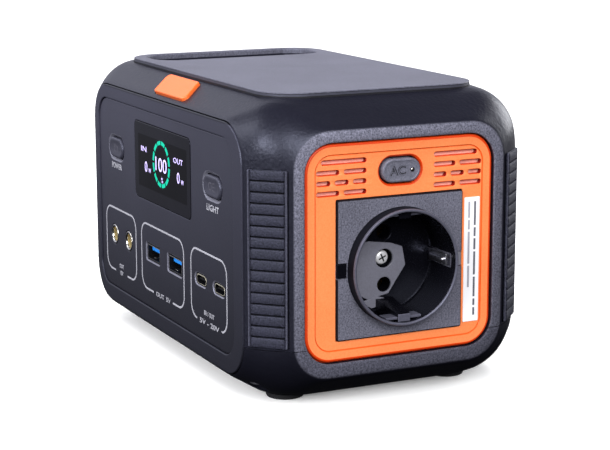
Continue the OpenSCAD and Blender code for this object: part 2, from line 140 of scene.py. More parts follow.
# ------------------------------------------------------------------ mesh builder
class Build:
    def __init__(self, f=TOP):
        self.F, self.l, self.v, self.f, self.mi = f, [], [], [], []

    def pt(self, a, b, c):
        self.l.append((a, b, c))
        self.v.append(self.F(a, b, c))
        return len(self.v) - 1

    def loop(self, pts, c):
        return [self.pt(a, b, c) for a, b in pts]

    def face(self, idx, m=0):
        self.f.append(tuple(idx))
        self.mi.append(m)

    def strip(self, A, B, m=0, closed=True):
        n = len(A)
        for i in range(n if closed else n - 1):
            j = (i + 1) % n
            self.face((A[i], A[j], B[j], B[i]), m)

    def cap(self, loops, m=0, up=True):
        flat = [i for lp in loops for i in lp]
        tris = geometry.tessellate_polygon([[Vector((self.l[i][0], self.l[i][1], 0)) for i in lp] for lp in loops])
        for t in tris:
            i, j, k = (flat[q] for q in t)
            a, b, c = self.l[i], self.l[j], self.l[k]
            area = (b[0] - a[0]) * (c[1] - a[1]) - (b[1] - a[1]) * (c[0] - a[0])
            if abs(area) < 1e-9:
                continue
            self.face((i, j, k) if (area > 0) == up else (i, k, j), m)

    def plate(self, shape, z0, top, holes=(), m=0, bottom=0.0, mh=None, back=True):
        """A plate over an outline. top is a list of (inset, height) from the side inwards; each hole is
        (outline, [(inset, height) from the top down]) or, with a third item, its material."""
        loops = []
        if bottom:
            loops += [self.loop(shape(bottom), z0), self.loop(shape(bottom * 0.3), z0 + bottom * 0.3),
                      self.loop(shape(0), z0 + bottom)]
        else:
            loops.append(self.loop(shape(0), z0))
        mm = [m] * len(loops)
        for q in top:
            loops.append(self.loop(shape(q[0]), q[1]))
            mm.append(q[2] if len(q) > 2 else m)
        for A, B, k in zip(loops, loops[1:], mm[1:]):
            self.strip(A, B, k)
        tl, bl = [loops[-1]], [loops[0]]
        for h in holes:
            hs = [self.loop(h[0](i), z) for i, z in h[1]]
            hm = h[2] if len(h) > 2 else (m if mh is None else mh)
            for A, B in zip(hs, hs[1:]):
                self.strip(A, B, hm)
            tl.append(hs[0])
            if len(h) > 3 and h[3]:       # blind hole
                self.cap([hs[-1]], hm, True)
            else:
                bl.append(hs[-1])
        self.cap(tl, m, True)
        if back:
            self.cap(bl, m, False)

    def lathe(self, prof, cx=0, cy=0, n=48, m=0, mats=None):
        """Closed or open profile of (radius, height) turned about c; points with no radius close it."""
        prev, pp = None, None
        for k, (r, z) in enumerate(prof):
            if r < 1e-6:
                cur = [self.pt(cx, cy, z)]
            else:
                cur = self.loop([(cx + r * math.cos(2 * PI * q / n), cy + r * math.sin(2 * PI * q / n)) for q in range(n)], z)
            if prev is not None:
                mm = mats[k - 1] if mats else m
                if len(prev) == 1 and len(cur) > 1:
                    for q in range(n):
                        self.face((prev[0], cur[(q + 1) % n], cur[q]), mm)
                elif len(cur) == 1 and len(prev) > 1:
                    for q in range(n):
                        self.face((prev[q], prev[(q + 1) % n], cur[0]), mm)
                else:
                    self.strip(prev, cur, mm)
            prev = cur

    def box(self, a0, a1, b0, b1, c0, c1, r=0.3, m=0):
        w, h = a1 - a0, b1 - b0
        self.plate(rr(w, h, r, (a0 + a1) / 2, (b0 + b1) / 2, 3), c0, fillet(min(r, w / 2.2, h / 2.2), c1, 3), m=m, bottom=min(r, 0.3) * 0.8)

    def add(self, other):
        k = len(self.v)
        self.v += other.v
        self.l += other.l
        self.f += [tuple(i + k for i in q) for q in other.f]
        self.mi += other.mi

    def mesh(self, name, scale=1.0):
        me = bpy.data.meshes.new(name)
        me.from_pydata([(x * scale, y * scale, z * scale) for x, y, z in self.v], [], self.f)
        me.polygons.foreach_set("material_index", self.mi)
        me.update()
        return me


MATS = {}


def dress(o, mats, angle=38, weighted=True):
    me = o.data
    slots = [0] * len(me.polygons)
    me.polygons.foreach_get("material_index", slots)
    me.materials.clear()
    for m in mats:
        me.materials.append(MATS[m])
    me.polygons.foreach_set("material_index", [min(k, len(mats) - 1) for k in slots])
    me.polygons.foreach_set("use_smooth", [True] * len(me.polygons))
    me.set_sharp_from_angle(angle=math.radians(angle))
    me.update()
    if weighted:
        w = o.modifiers.new("normals", "WEIGHTED_NORMAL")
        w.keep_sharp = True
        w.weight = 90


def piece(name, build, mats, body="case", replaces=(), angle=38, weld=True, fix=False):
    me = build.mesh(name, S)
    if weld or fix:
        bm = bmesh.new()
        bm.from_mesh(me)
        bmesh.ops.remove_doubles(bm, verts=bm.verts, dist=2e-7)
        if fix:
            bmesh.ops.recalc_face_normals(bm, faces=bm.faces)
        bm.to_mesh(me)
        bm.free()
    o = bpy.data.objects.new(name, me)
    scene.collection.objects.link(o)
    dress(o, mats, angle)
    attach(o, body)
    if replaces:
        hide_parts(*replaces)
    return o


def temp(build, name="tmp"):
    """A closed solid in mm for a boolean."""
    me = build.mesh(name)
    bm = bmesh.new()
    bm.from_mesh(me)
    bmesh.ops.remove_doubles(bm, verts=bm.verts, dist=1e-4)
    bmesh.ops.recalc_face_normals(bm, faces=bm.faces)
    bm.to_mesh(me)
    bm.free()
    o = bpy.data.objects.new(name, me)
    scene.collection.objects.link(o)
    return o


def joined(tools):
    """One tool made of several solids that don't touch."""
    bm = bmesh.new()
    for t in tools:
        bm.from_mesh(t.data)
        bpy.data.objects.remove(t)
    me = bpy.data.meshes.new("tools")
    bm.to_mesh(me)
    bm.free()
    o = bpy.data.objects.new("tools", me)
    scene.collection.objects.link(o)
    return o


def carve(o, steps, solver="MANIFOLD"):
    """steps: (operation, object). Applies the booleans one after the other and removes the tools."""
    for op, tool in steps:
        mod = o.modifiers.new("b", "BOOLEAN")
        mod.operation, mod.object, mod.solver = op, tool, solver
        if op == "DIFFERENCE":
            mod.material_mode = "INDEX"
    bpy.context.view_layer.update()
    me = bpy.data.meshes.new_from_object(o.evaluated_get(bpy.context.evaluated_depsgraph_get()))
    o.modifiers.clear()
    o.data = me
    for t in {t for _, t in steps}:
        bpy.data.objects.remove(t)
    return o


def settle(o, name, mats, body="case", replaces=(), angle=30):
    """Turns a solid in mm into a finished piece in metres."""
    bm = bmesh.new()
    bm.from_mesh(o.data)
    bmesh.ops.remove_doubles(bm, verts=bm.verts, dist=2e-3)
    bmesh.ops.dissolve_degenerate(bm, edges=bm.edges, dist=1e-3)
    bmesh.ops.transform(bm, matrix=Matrix.Scale(S, 4), verts=bm.verts)
    bm.to_mesh(o.data)
    bm.free()
    o.name = name
    o.data.name = name
    dress(o, mats, angle)
    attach(o, body)
    if replaces:
        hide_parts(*replaces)
    return o


# ------------------------------------------------------------------ node materials
class Nt:
    def __init__(self, m):
        self.t = m.node_tree
        self.t.nodes.clear()

    def n(self, kind, **kw):
        x = self.t.nodes.new("ShaderNode" + kind)
        for k, v in kw.items():
            if k.startswith("i_"):
                x.inputs[k[2:].replace("_", " ")].default_value = v
            else:
                setattr(x, k, v)
        return x

    def l(self, a, b):
        self.t.links.new(a, b)

    def math(self, op, a, b=None, c=None, clamp=False):
        x = self.n("Math", operation=op, use_clamp=clamp)
        for k, v in enumerate((a, b, c)):
            if v is None:
                continue
            if isinstance(v, (int, float)):
                x.inputs[k].default_value = v
            else:
                self.l(v, x.inputs[k])
        return x.outputs[0]

    def ramp(self, v, lo, hi, o0=0.0, o1=1.0, smooth=False):
        x = self.n("MapRange")
        x.interpolation_type = "SMOOTHSTEP" if smooth else "LINEAR"
        x.clamp = True
        for k, q in zip(("From Min", "From Max", "To Min", "To Max"), (lo, hi, o0, o1)):
            x.inputs[k].default_value = q
        self.l(v, x.inputs["Value"])
        return x.outputs["Result"]

    def mix(self, f, a, b, blend="MIX"):
        x = self.n("Mix", data_type="RGBA", blend_type=blend)
        for v, s in ((f, x.inputs[0]), (a, x.inputs[6]), (b, x.inputs[7])):
            if isinstance(v, (int, float)):
                s.default_value = v
            elif isinstance(v, (tuple, list)):
                s.default_value = (*v[:3], 1)
            else:
                self.l(v, s)
        return x.outputs[2]

    def noise(self, scale, detail=3.0, rough=0.6, vec=None, dist=0.0):
        x = self.n("TexNoise")
        x.inputs["Scale"].default_value = scale
        x.inputs["Detail"].default_value = detail
        x.inputs["Roughness"].default_value = rough
        x.inputs["Distortion"].default_value = dist
        if vec is not None:
            self.l(vec, x.inputs["Vector"])
        return x.outputs["Fac"]

    def cells(self, scale, vec, feature="F1", rand=1.0):
        x = self.n("TexVoronoi")
        x.feature = feature
        x.inputs["Scale"].default_value = scale
        x.inputs["Randomness"].default_value = rand
        self.l(vec, x.inputs["Vector"])
        return x.outputs["Distance"]

    def coords(self):
        c = self.n("TexCoord")
        return c.outputs["Object"]

    def xyz(self, v):
        x = self.n("SeparateXYZ")
        self.l(v, x.inputs[0])
        return x.outputs

    def bump(self, h, strength, dist, normal=None):
        x = self.n("Bump")
        x.inputs["Strength"].default_value = strength
        x.inputs["Distance"].default_value = dist
        self.l(h, x.inputs["Height"])
        if normal is not None:
            self.l(normal, x.inputs["Normal"])
        return x.outputs["Normal"]


def lin(h):
    h = h.lstrip("#")
    out = []
    for k in (0, 2, 4):
        c = int(h[k:k + 2], 16) / 255
        out.append(c / 12.92 if c <= 0.04045 else ((c + 0.055) / 1.055) ** 2.4)
    return tuple(out)


def mul(c, k):
    return tuple(min(1.0, max(0.0, x * k)) for x in c)


def material(name, base, rough=0.5, grain=1400.0, fleck=0.25, mottle=0.12, bump=0.3, depth=6e-5, leather=0.0,
             metal=0.0, spec=0.5, coat=0.0, alpha=None, emit=None, zones=None, streak=None, sheen=0.0, tint=None, cool=None):
    """Moulded, painted or metal surface: fine grain in colour, gloss and relief, over a broad uneven tone."""
    m = bpy.data.materials.new(name)
    m.use_nodes = True
    t = Nt(m)
    out = t.n("OutputMaterial")
    b = t.n("BsdfPrincipled")
    t.l(b.outputs[0], out.inputs[0])
    co = t.coords()
    if streak:
        mp = t.n("Mapping")
        mp.inputs["Scale"].default_value = streak
        t.l(co, mp.inputs[0])
        fine = t.noise(grain, 2.0, 0.5, mp.outputs[0])
    else:
        fine = t.noise(grain, 3.0, 0.65, co)
    broad = t.noise(38.0, 3.0, 0.55, co, 0.4)
    f = t.math("ADD", t.math("MULTIPLY", t.math("SUBTRACT", fine, 0.5), fleck * 4),
               t.math("MULTIPLY", t.math("SUBTRACT", broad, 0.5), mottle * 5))
    fac = t.math("ADD", f, 0.5, clamp=True)
    k = 0.5 * max(fleck, mottle) * 2.2
    light = tint if tint else mul(base, 1 + k)
    col = t.mix(fac, mul(base, max(0.0, 1 - k)), light)
    rg = t.math("ADD", t.math("MULTIPLY", t.math("SUBTRACT", fine, 0.5), 0.25), rough, clamp=True)
    if zones:
        for z in zones:
            col, rg = z(t, co, col, rg, fine)
    t.l(col, b.inputs["Base Color"])
    t.l(rg, b.inputs["Roughness"])
    b.inputs["Metallic"].default_value = metal
    b.inputs["Specular IOR Level"].default_value = spec
    if cool:
        b.inputs["Specular Tint"].default_value = (*cool, 1)
    if coat:
        b.inputs["Coat Weight"].default_value = coat
        b.inputs["Coat Roughness"].default_value = 0.05
    if sheen:
        b.inputs["Sheen Weight"].default_value = sheen
        b.inputs["Sheen Roughness"].default_value = 0.4
    if alpha is not None:
        b.inputs["Transmission Weight"].default_value = 1 - alpha
        b.inputs["IOR"].default_value = 1.3
    if emit:
        b.inputs["Emission Color"].default_value = (*emit[0], 1)
        b.inputs["Emission Strength"].default_value = emit[1]
    nrm = t.bump(fine, bump, depth)
    if leather:
        cell = t.cells(900.0, co, "SMOOTH_F1")
        nrm = t.bump(cell, leather, 2.2e-4, nrm)
    t.l(nrm, b.inputs["Normal"])
    MATS[name] = m
    return m


def grain_zone(axis, lo, hi, colour, rough, amount=0.6, tone=None):
    """A flat field of a case face that is blasted lighter and rougher than the bevels round it; the last argument, if
    given, paints shade into it: darker towards the bottom and towards +y.
    """
    def z(t, co, col, rg, fine):
        q = t.xyz(co)
        m = t.ramp(q[axis], lo, hi, 0, 1, True)
        g = t.mix(t.ramp(fine, 0.34, 0.66), mul(colour, 1 - amount), mul(colour, 1 + amount))
        # painted shade: the colour is multiplied down towards the bottom and towards +y
        if tone:
            g = t.mix(1.0, g, t.math("MULTIPLY", t.ramp(q[2], *tone), t.ramp(q[1], -0.02, 0.05, 1.0, 0.74)), "MULTIPLY")
        return t.mix(m, col, g), t.math("ADD", t.math("MULTIPLY", t.math("SUBTRACT", rough, rg), m), rg)
    return z


def painted_shade_ramp(z0, z1, k0, k1, axis=2):
    """Painted light and shade: the colour is multiplied by a ramp along an axis, from k0 at z0 to k1 at z1."""
    def z(t, co, col, rg, fine):
        return t.mix(1.0, col, t.ramp(t.xyz(co)[axis], z0, z1, k0, k1), "MULTIPLY"), rg
    return z


COOL = (0.72, 0.76, 1.0)
# painted shade for the blasted end fields: darker towards the bottom and towards +y
AC_PAINTED_SHADE = (0.012, 0.1, 0.8, 1.5)
material("case_upper", lin("#13131c"), 0.41, 1700, 0.3, 0.12, 0.4, 8e-5, leather=0.3, spec=0.42, cool=COOL,
         zones=[grain_zone(0, 0.08635, 0.08675, lin("#53535f"), 0.62, 0.6, AC_PAINTED_SHADE),
                grain_zone(0, -0.09085, -0.09125, lin("#53535f"), 0.62, 0.6, AC_PAINTED_SHADE)])
material("case_lower", lin("#0f0f17"), 0.42, 1700, 0.25, 0.12, 0.3, 6e-5, spec=0.35, cool=COOL,
         zones=[grain_zone(0, 0.08635, 0.08675, lin("#4c4c58"), 0.62, 0.6, AC_PAINTED_SHADE),
                grain_zone(0, -0.09085, -0.09125, lin("#4c4c58"), 0.62, 0.6, AC_PAINTED_SHADE)])
material("top_skin", lin("#4e4e5a"), 0.5, 1700, 0.55, 0.1, 0.6, 1e-4, cool=COOL)
material("top_edge", lin("#3a3a44"), 0.5, 1700, 0.3, 0.1, 0.3, 6e-5, cool=COOL)
material("liner", lin("#14141b"), 0.6, 1200, 0.3, 0.2, 0.4, 8e-5, spec=0.3)
# painted light and shade on the bezel: darker towards the bottom and towards the socket end, and a near-black painted
# shadow line along its top edge
material("bezel", lin("#2c2c37"), 0.42, 1900, 0.25, 0.1, 0.25, 5e-5, cool=COOL, zones=[painted_shade_ramp(0.01, 0.1, 0.36, 1.4), painted_shade_ramp(0.09905, 0.0993, 1.0, 0.12), painted_shade_ramp(-0.02, 0.075, 1.0, 0.85, 0)])
# painted light and shade on the panel: darker towards the bottom and towards the socket end
material("panel", lin("#2f2f3a"), 0.42, 1900, 0.25, 0.1, 0.25, 5e-5, cool=COOL, zones=[painted_shade_ramp(0.01, 0.1, 0.18, 1.44), painted_shade_ramp(-0.03, 0.07, 1.0, 0.78, 0)])
# painted highlight: a lighter copy of the panel colour for the chamfered rims of the key and port holes
material("panel_rim_highlight", lin("#62626e"), 0.4, 1900, 0.25, 0.1, 0.25, 5e-5, cool=COOL)
material("print_grey", lin("#a4a4ae"), 0.6, 2500, 0.2, 0.1, 0.1, 2e-5)
# painted light: pale grey for the lit right tab of the socket
material("tab_painted_light", lin("#6d6d77"), 0.6, 2500, 0.2, 0.1, 0.1, 2e-5)
material("window", lin("#101016"), 0.22, 900, 0.1, 0.3, 0.05, 1e-5, spec=0.2, cool=COOL)
material("window_active", lin("#09090d"), 0.2, 900, 0.15, 0.3, 0.05, 1e-5, spec=0.1)
material("lcd", lin("#1b1b22"), 0.4, 900)
material("glow_digit", lin("#cdbfff"), 0.4, 3000, 0.2, 0.05, 0.0, 1e-6, emit=(lin("#c9bbff"), 0.85))
material("glow_ring", lin("#0c8a74"), 0.4, 1200, 0.3, 0.25, 0.0, 1e-6, emit=(lin("#12cfa6"), 0.72), spec=0.1)
material("key", lin("#34343f"), 0.4, 1900, 0.25, 0.1, 0.3, 5e-5, cool=COOL)
material("key_mark", lin("#4b4a55"), 0.5, 1700, 0.2, 0.1, 0.1, 2e-5)
material("switch_black", lin("#0d0d10"), 0.4, 1200)
material("nickel", lin("#c9c7c4"), 0.22, 900, 0.12, 0.2, 0.08, 2e-5, metal=1.0)
material("brass", lin("#c9a45c"), 0.28, 900, 0.15, 0.25, 0.1, 3e-5, metal=1.0)
material("jack_brass", lin("#d2c08c"), 0.3, 1500, 0.2, 0.15, 0.2, 4e-5, metal=0.55)
material("usb_gold", lin("#d9bf7c"), 0.25, 900, 0.15, 0.2, 0.08, 2e-5, metal=1.0)
material("usb_blue", lin("#2390ff"), 0.4, 1500, 0.15, 0.1, 0.15, 4e-5)
material("usb_black", lin("#0a0a0e"), 0.4, 1500, 0.2, 0.15, 0.2, 4e-5, spec=0.25)
material("usb_c_rim", lin("#bcb8a8"), 0.35, 1800, 0.2, 0.15, 0.2, 4e-5, metal=0.5)
# painted shade: the orange is darkened along the top of its field
material("orange", lin("#fb7434"), 0.42, 1700, 0.18, 0.06, 0.5, 8e-5, tint=lin("#ff9a60"), zones=[painted_shade_ramp(0.084, 0.095, 1.0, 0.82)])
# painted shade: a darker copy of the orange for slot and hole walls, lips and the rounded outer rim
material("orange_shaded", lin("#d03a08"), 0.45, 1500, 0.15, 0.08, 0.3, 6e-5, spec=0.3)
# painted shade: a deeper orange for the step round the field
material("orange_step_shade", lin("#e0561a"), 0.45, 1500, 0.15, 0.08, 0.3, 6e-5, spec=0.3)
material("orange_dark", lin("#7d0d08"), 0.5, 1500, 0.15, 0.08, 0.3, 6e-5, spec=0.15)
material("badge_orange", lin("#dc5212"), 0.4, 1700, 0.14, 0.06, 0.35, 5e-5, tint=lin("#ff7c3c"))
# painted light: pale pink standing for the lit inside of the vent slots
material("vent_painted_light", lin("#f0a898"), 0.6, 1100, 0.25, 0.2, 0.5, 1e-4)
material("ac_key", lin("#5e5e6a"), 0.5, 1900, 0.45, 0.1, 0.5, 8e-5, cool=COOL)
# dark for the outlines of the AC letters (print) and for the skirt round the key (painted shade in the gap)
material("ac_print_and_gap_shade", lin("#14141c"), 0.5, 1900, 0.3, 0.1, 0.2, 4e-5)
material("label", lin("#efeff4"), 0.5, 2200, 0.06, 0.05, 0.08, 2e-5)
material("label_ink", lin("#5c5c66"), 0.6, 2600, 0.3, 0.2, 0.05, 2e-5)
material("label_pale", lin("#9c9ca6"), 0.6, 2600, 0.3, 0.2, 0.05, 2e-5)
material("socket_plate", lin("#5a5a66"), 0.55, 1700, 0.6, 0.12, 0.6, 1e-4, cool=COOL)
# painted shade: near-black for the well's walls, floor, guides and left tab, standing for the shade inside the socket
material("socket_well_shade", lin("#08080d"), 0.25, 1200, 0.2, 0.15, 0.12, 3e-5, spec=0.25, cool=COOL)
material("socket_rim", lin("#4a4a56"), 0.35, 1500, 0.3, 0.15, 0.2, 4e-5, cool=COOL)
# painted shade: near-black for the collar's outer wall and the sides of the plate
material("socket_side_shade", lin("#0b0b12"), 0.55, 1500, 0.3, 0.15, 0.2, 4e-5, spec=0.12)
# painted light: pale grey for the lit patches on the socket floor
material("socket_lit_patch", lin("#6c6c78"), 0.45, 1500, 0.25, 0.15, 0.2, 4e-5)
material("spring_steel", lin("#b9b9c2"), 0.3, 600, 0.15, 0.2, 0.15, 3e-5, metal=1.0, streak=(1, 6, 6))
material("screw_steel", lin("#d8d8dc"), 0.35, 1500, 0.25, 0.15, 0.2, 4e-5, metal=0.25)
material("case_screw", lin("#777780"), 0.35, 700, 0.2, 0.2, 0.15, 3e-5, metal=1.0)
material("lens", lin("#e9e9e4"), 0.4, 900, 0.08, 0.05, 0.15, 4e-5, alpha=0.55)
material("reflector", lin("#dcdce0"), 0.12, 500, 0.08, 0.15, 0.05, 1e-5, metal=1.0)
material("lamp_pcb", lin("#e4e3da"), 0.45, 900)
material("led", lin("#f3e08a"), 0.3, 900, 0.1, 0.1, 0.05, 1e-5)
material("fan_black", lin("#15151a"), 0.4, 1200, 0.25, 0.15, 0.25, 5e-5)
material("grip", lin("#1d1d28"), 0.6, 1700, 0.8, 0.12, 0.9, 1.6e-4, cool=COOL)
# painted highlight: a lighter copy of the grip colour for the border rails
material("grip_rail_highlight", lin("#3e3e4a"), 0.5, 1700, 0.5, 0.12, 0.5, 1e-4, cool=COOL)
# painted shade: near-black for the floors and walls of gaps and grooves
material("groove", lin("#060609"), 0.6, 1500, 0.3, 0.15, 0.2, 4e-5, spec=0.08)
material("foot", lin("#121216"), 0.8, 1100, 0.4, 0.2, 0.6, 1e-4)
material("pcb", lin("#14532f"), 0.35, 420, 0.3, 0.3, 0.35, 6e-5)
material("holder", lin("#1b1b20"), 0.5, 1000)
material("cell", lin("#1f6a4c"), 0.3, 600, 0.12, 0.2, 0.1, 3e-5)
material("strip", lin("#bdbcb4"), 0.32, 500, 0.15, 0.25, 0.15, 3e-5, metal=1.0, streak=(8, 1, 1))
material("ferrite", lin("#33333a"), 0.7, 800, 0.4, 0.2, 0.6, 1e-4)
material("winding", lin("#d79a2e"), 0.35, 300, 0.2, 0.25, 0.5, 1e-4, streak=(1, 1, 9))
material("capacitor", lin("#1c2136"), 0.3, 700)
material("fins", lin("#a9abb2"), 0.35, 500, 0.15, 0.2, 0.2, 4e-5, metal=1.0, streak=(9, 1, 1))
material("red_wire", lin("#a81f22"), 0.45, 900)
material("brown_wire", lin("#54341d"), 0.45, 900)

SLOT_MAT = {"case_lower": "case_lower", "case_upper": "case_upper", "socket": "socket_plate"}
for row in frame["record"]["subparts"]:
    o = NODES[row["node"]]
    want = SLOT_MAT.get(row["material_slot"], row["material_slot"])
    o.data.materials.clear()
    o.data.materials.append(MATS[want])

# ------------------------------------------------------------------ case shells
XA, XF, YS, ZB, ZT = 87.0, -91.5, 54.6, 2.0, 108.4
SLABS = [  # axis, plane, inward, and the rounded rectangle of the section there: w, h, r, cu, cv
    ("x", XF, 1, 84.4, 88.75, 14.5, 0.0, 55.175), ("x", XA, -1, 84.4, 88.75, 14.5, 0.0, 55.175),
    ("y", -YS, 1, 154.1, 92.2, 16.0, -2.25, 55.1), ("y", YS, -1, 154.1, 92.2, 16.0, -2.25, 55.1),
    ("z", ZB, 1, 149.5, 86.4, 15.0, -2.25, 0.0), ("z", ZT, -1, 148.0, 85.0, 15.0, -2.0, 0.0),
]


def hull(points, merge=0.0):
    bm = bmesh.new()
    for p in points:
        bm.verts.new(p)
    if merge:
        bmesh.ops.remove_doubles(bm, verts=bm.verts, dist=merge)
    r = bmesh.ops.convex_hull(bm, input=bm.verts, use_existing_faces=False)
    junk = {e for e in r["geom_interior"] + r["geom_unused"] if isinstance(e, bmesh.types.BMVert)}
    bmesh.ops.delete(bm, geom=list(junk), context="VERTS")
    bm.normal_update()
    return bm


def slab_points(d, e, n):
    out = []
    for axis, p, s, w, h, r, cu, cv in SLABS:
        for u, v in rr(w, h, r, cu, cv, n)(e):
            q = p + s * d
            out.append({"x": (q, u, v), "y": (u, q, v), "z": (u, v, q)}[axis])
    return out


def case_planes():
    """The faces and folds of the case as (normal, offset), with no cut across the corners."""
    out = [(Vector(n), o) for n, o in (((1, 0, 0), XA), ((-1, 0, 0), -XF), ((0, 1, 0), YS), ((0, -1, 0), YS),
                                       ((0, 0, 1), ZT), ((0, 0, -1), -ZB))]

    def fold(i, j, p, q, mid):
        n = Vector((q[1] - p[1], p[0] - q[0])).normalized()
        if n.dot(Vector(mid)) > n.dot(Vector(p)):
            n = -n
        v = Vector((0, 0, 0))
        v[i], v[j] = n[0], n[1]
        out.append((v, n.dot(Vector(p))))

    zs = {ZB: (-2.25, 74.75, 43.2), ZT: (-2.0, 74.0, 42.5)}
    for sx, X in ((-1, XF), (1, XA)):
        for sy in (-1, 1):
            fold(0, 1, (X, sy * 42.2), (-2.25 + sx * 77.05, sy * YS), (0, 0))
        for Z, zx in ((ZB, 10.8), (ZT, 99.55)):
            cx, hx, _ = zs[Z]
            fold(0, 2, (X, zx), (cx + sx * hx, Z), (0, 55))
    for sy in (-1, 1):
        for Z, zy in ((ZB, 9.0), (ZT, 101.2)):
            fold(1, 2, (sy * YS, zy), (sy * zs[Z][2], Z), (0, 55))
    return out


def soft_corners(r, steps=48):
    """Points on the case with every fold and corner rounded to radius r."""
    P = case_planes()
    core = []
    for i in range(len(P)):
        for j in range(i):
            for k in range(j):
                M = Matrix((P[i][0], P[j][0], P[k][0]))
                if abs(M.determinant()) < 1e-6:
                    continue
                x = M.inverted() @ Vector((P[i][1] - r, P[j][1] - r, P[k][1] - r))
                if all(n.dot(x) <= o - r + 1e-5 for n, o in P) and all((x - y).length > 1e-4 for y in core):
                    core.append(x)
    out = []
    for i in range(steps + 1):
        th = PI * i / steps
        for j in range(2 * steps):
            ph = PI * j / steps
            m = Vector((math.sin(th) * math.cos(ph), math.sin(th) * math.sin(ph), math.cos(th)))
            out.append(max(core, key=m.dot) + m * r)
    return out


def case_solid(r=2.2, n=9, voxel=1.2, rounds=6):
    """The case as one evenly meshed solid: folds rounded to radius r, fuller rounded corners at the top."""
    bm = hull(slab_points(r, r, n))
    pts = []
    for v in bm.verts:
        pts += [v.co + f.normal * r for f in v.link_faces]
        for e in v.link_edges:
            if len(e.link_faces) == 2:
                a, b = (f.normal for f in e.link_faces)
                k = int(a.angle(b) / math.radians(9))
                pts += [v.co + a.slerp(b, j / (k + 1)) * r for j in range(1, k + 1)]
    bm.free()
    pts += [p for p in soft_corners(18.5) if p.z > 60] + [p for p in soft_corners(21.7) if p.z < 48]
    out = hull(pts, 0.04)
    me = bpy.data.meshes.new("case")
    out.to_mesh(me)
    out.free()
    o = bpy.data.objects.new("case_solid", me)
    scene.collection.objects.link(o)
    m = o.modifiers.new("even", "REMESH")
    m.mode, m.voxel_size, m.adaptivity = "VOXEL", voxel, 0.0
    m = o.modifiers.new("soft", "SMOOTH")
    m.factor, m.iterations = 0.5, rounds
    bpy.context.view_layer.update()
    me = bpy.data.meshes.new_from_object(o.evaluated_get(bpy.context.evaluated_depsgraph_get()))
    o.modifiers.clear()
    o.data = me
    lo = [min(v.co[k] for v in me.vertices) for k in range(3)]
    hi = [max(v.co[k] for v in me.vertices) for k in range(3)]
    for v in me.vertices:     # the flats exactly on their planes
        for k, (a, b) in enumerate(((XF, XA), (-YS, YS), (ZB, ZT))):
            if abs(v.co[k] - lo[k]) < 0.02:
                v.co[k] = a
            elif abs(v.co[k] - hi[k]) < 0.02:
                v.co[k] = b
    return o


def hull_solid(d, e, n=8):
    bm = hull(slab_points(d, e, n))
    bmesh.ops.dissolve_limit(bm, angle_limit=math.radians(0.25), verts=bm.verts, edges=bm.edges)
    me = bpy.data.meshes.new("inner")
    bm.to_mesh(me)
    bm.free()
    o = bpy.data.objects.new("hull_solid", me)
    scene.collection.objects.link(o)
    return o


def block(x0, x1, y0, y1, z0, z1):
    b = Build()
    A = b.loop([(x0, y0), (x1, y0), (x1, y1), (x0, y1)], z0)
    B = b.loop([(x0, y0), (x1, y0), (x1, y1), (x0, y1)], z1)
    b.strip(A, B)
    b.cap([A], up=False)
    b.cap([B], up=True)
    return temp(b)


def cutter(f, shape, z0, z1, flare=0.0, over=2.0):
    """A tool that cuts an opening from z1 down to z0, with its rim flared outwards."""
    b = Build(f)
    top = ([(0, z1 - flare), (-flare * 0.35, z1 - flare * 0.35), (-flare, z1), (-flare - 0.02, z1 + over)] if flare
           else [(0, z1 + over)])
    b.plate(shape, z0, top)
    return temp(b)


POSTS = [(67.5, 46), (67.5, -46), (-72, 46), (-72, -46)]


def openings():
    out = [
        cutter(FRONT, rr(152.1, 90.2, 15, -2.25, 55.1, 10), 51.0, 54.6, 0.25),
        cutter(END, rr(74.3, 77.1, 10.25, 0, 55.7, 10), 82.4, 87.0, 0.35),
        cutter(FAR, rr(74.2, 55.0, 10.2, 0, 44.7, 10), 86.9, 91.5, 0.45),
        cutter(FAR, rr(72.6, 17.0, 5, 0, 86.5, 8), 86.9, 91.5, 0.8),
        cutter(TOP, rr(24, 72.6, 9, -59.5, 0, 8), 103.2, 107.6, 0.0, 0.4),
        cutter(TOP, rr(147.7, 84.7, 14.85, -2.0, 0, 12), 107.8, 109.0),
        cutter(CHAMFER, poly_round([(-9.8, -2.6), (16.4, -2.6), (12, 4.2), (-14.1, 4.2)], 2.2), -1.1, 0.0, 0.2),
    ]
    # thin groove that echoes the front frame on the plain long side
    g = Build(BACK)
    o1, o2 = rr(146, 84, 12, 2.25, 55.1, 10), rr(146, 84, 12, 2.25, 55.1, 10)
    A, B = g.loop(o1(0), 54.1), g.loop(o1(-0.3), 56)
    C, D = g.loop(o2(0.6), 54.1), g.loop(o2(0.3), 56)
    g.strip(A, B)
    g.strip(D, C)
    g.cap([B, D], up=True)
    g.cap([A, C], up=False)
    out.append(temp(g))
    for sx in (1, -1):
        for sy in (1, -1):
            b = Build(corner_frame(sx, sy))
            b.plate(rr(14.8, 62.2, 1.2, 0, 54.9, 4), -1.2, [(0, -0.15), (-0.15, 0.02), (-0.16, 4)])
            out.append(temp(b))
    return out


outer = case_solid()
outer2 = outer.copy()
outer2.data = outer.data.copy()
scene.collection.objects.link(outer2)
outer3 = outer.copy()
outer3.data = outer.data.copy()
scene.collection.objects.link(outer3)


def cuts():
    t = openings()
    return [("DIFFERENCE", t.pop(4)), ("DIFFERENCE", joined(t))]


upper = carve(outer, [("DIFFERENCE", hull_solid(2.6, 1.2)), ("INTERSECT", block(-150, 150, -100, 100, 23.13, 200))] + cuts())
settle(upper, "case_shell_upper", ["case_upper"], replaces=["upper_shell"], angle=32)

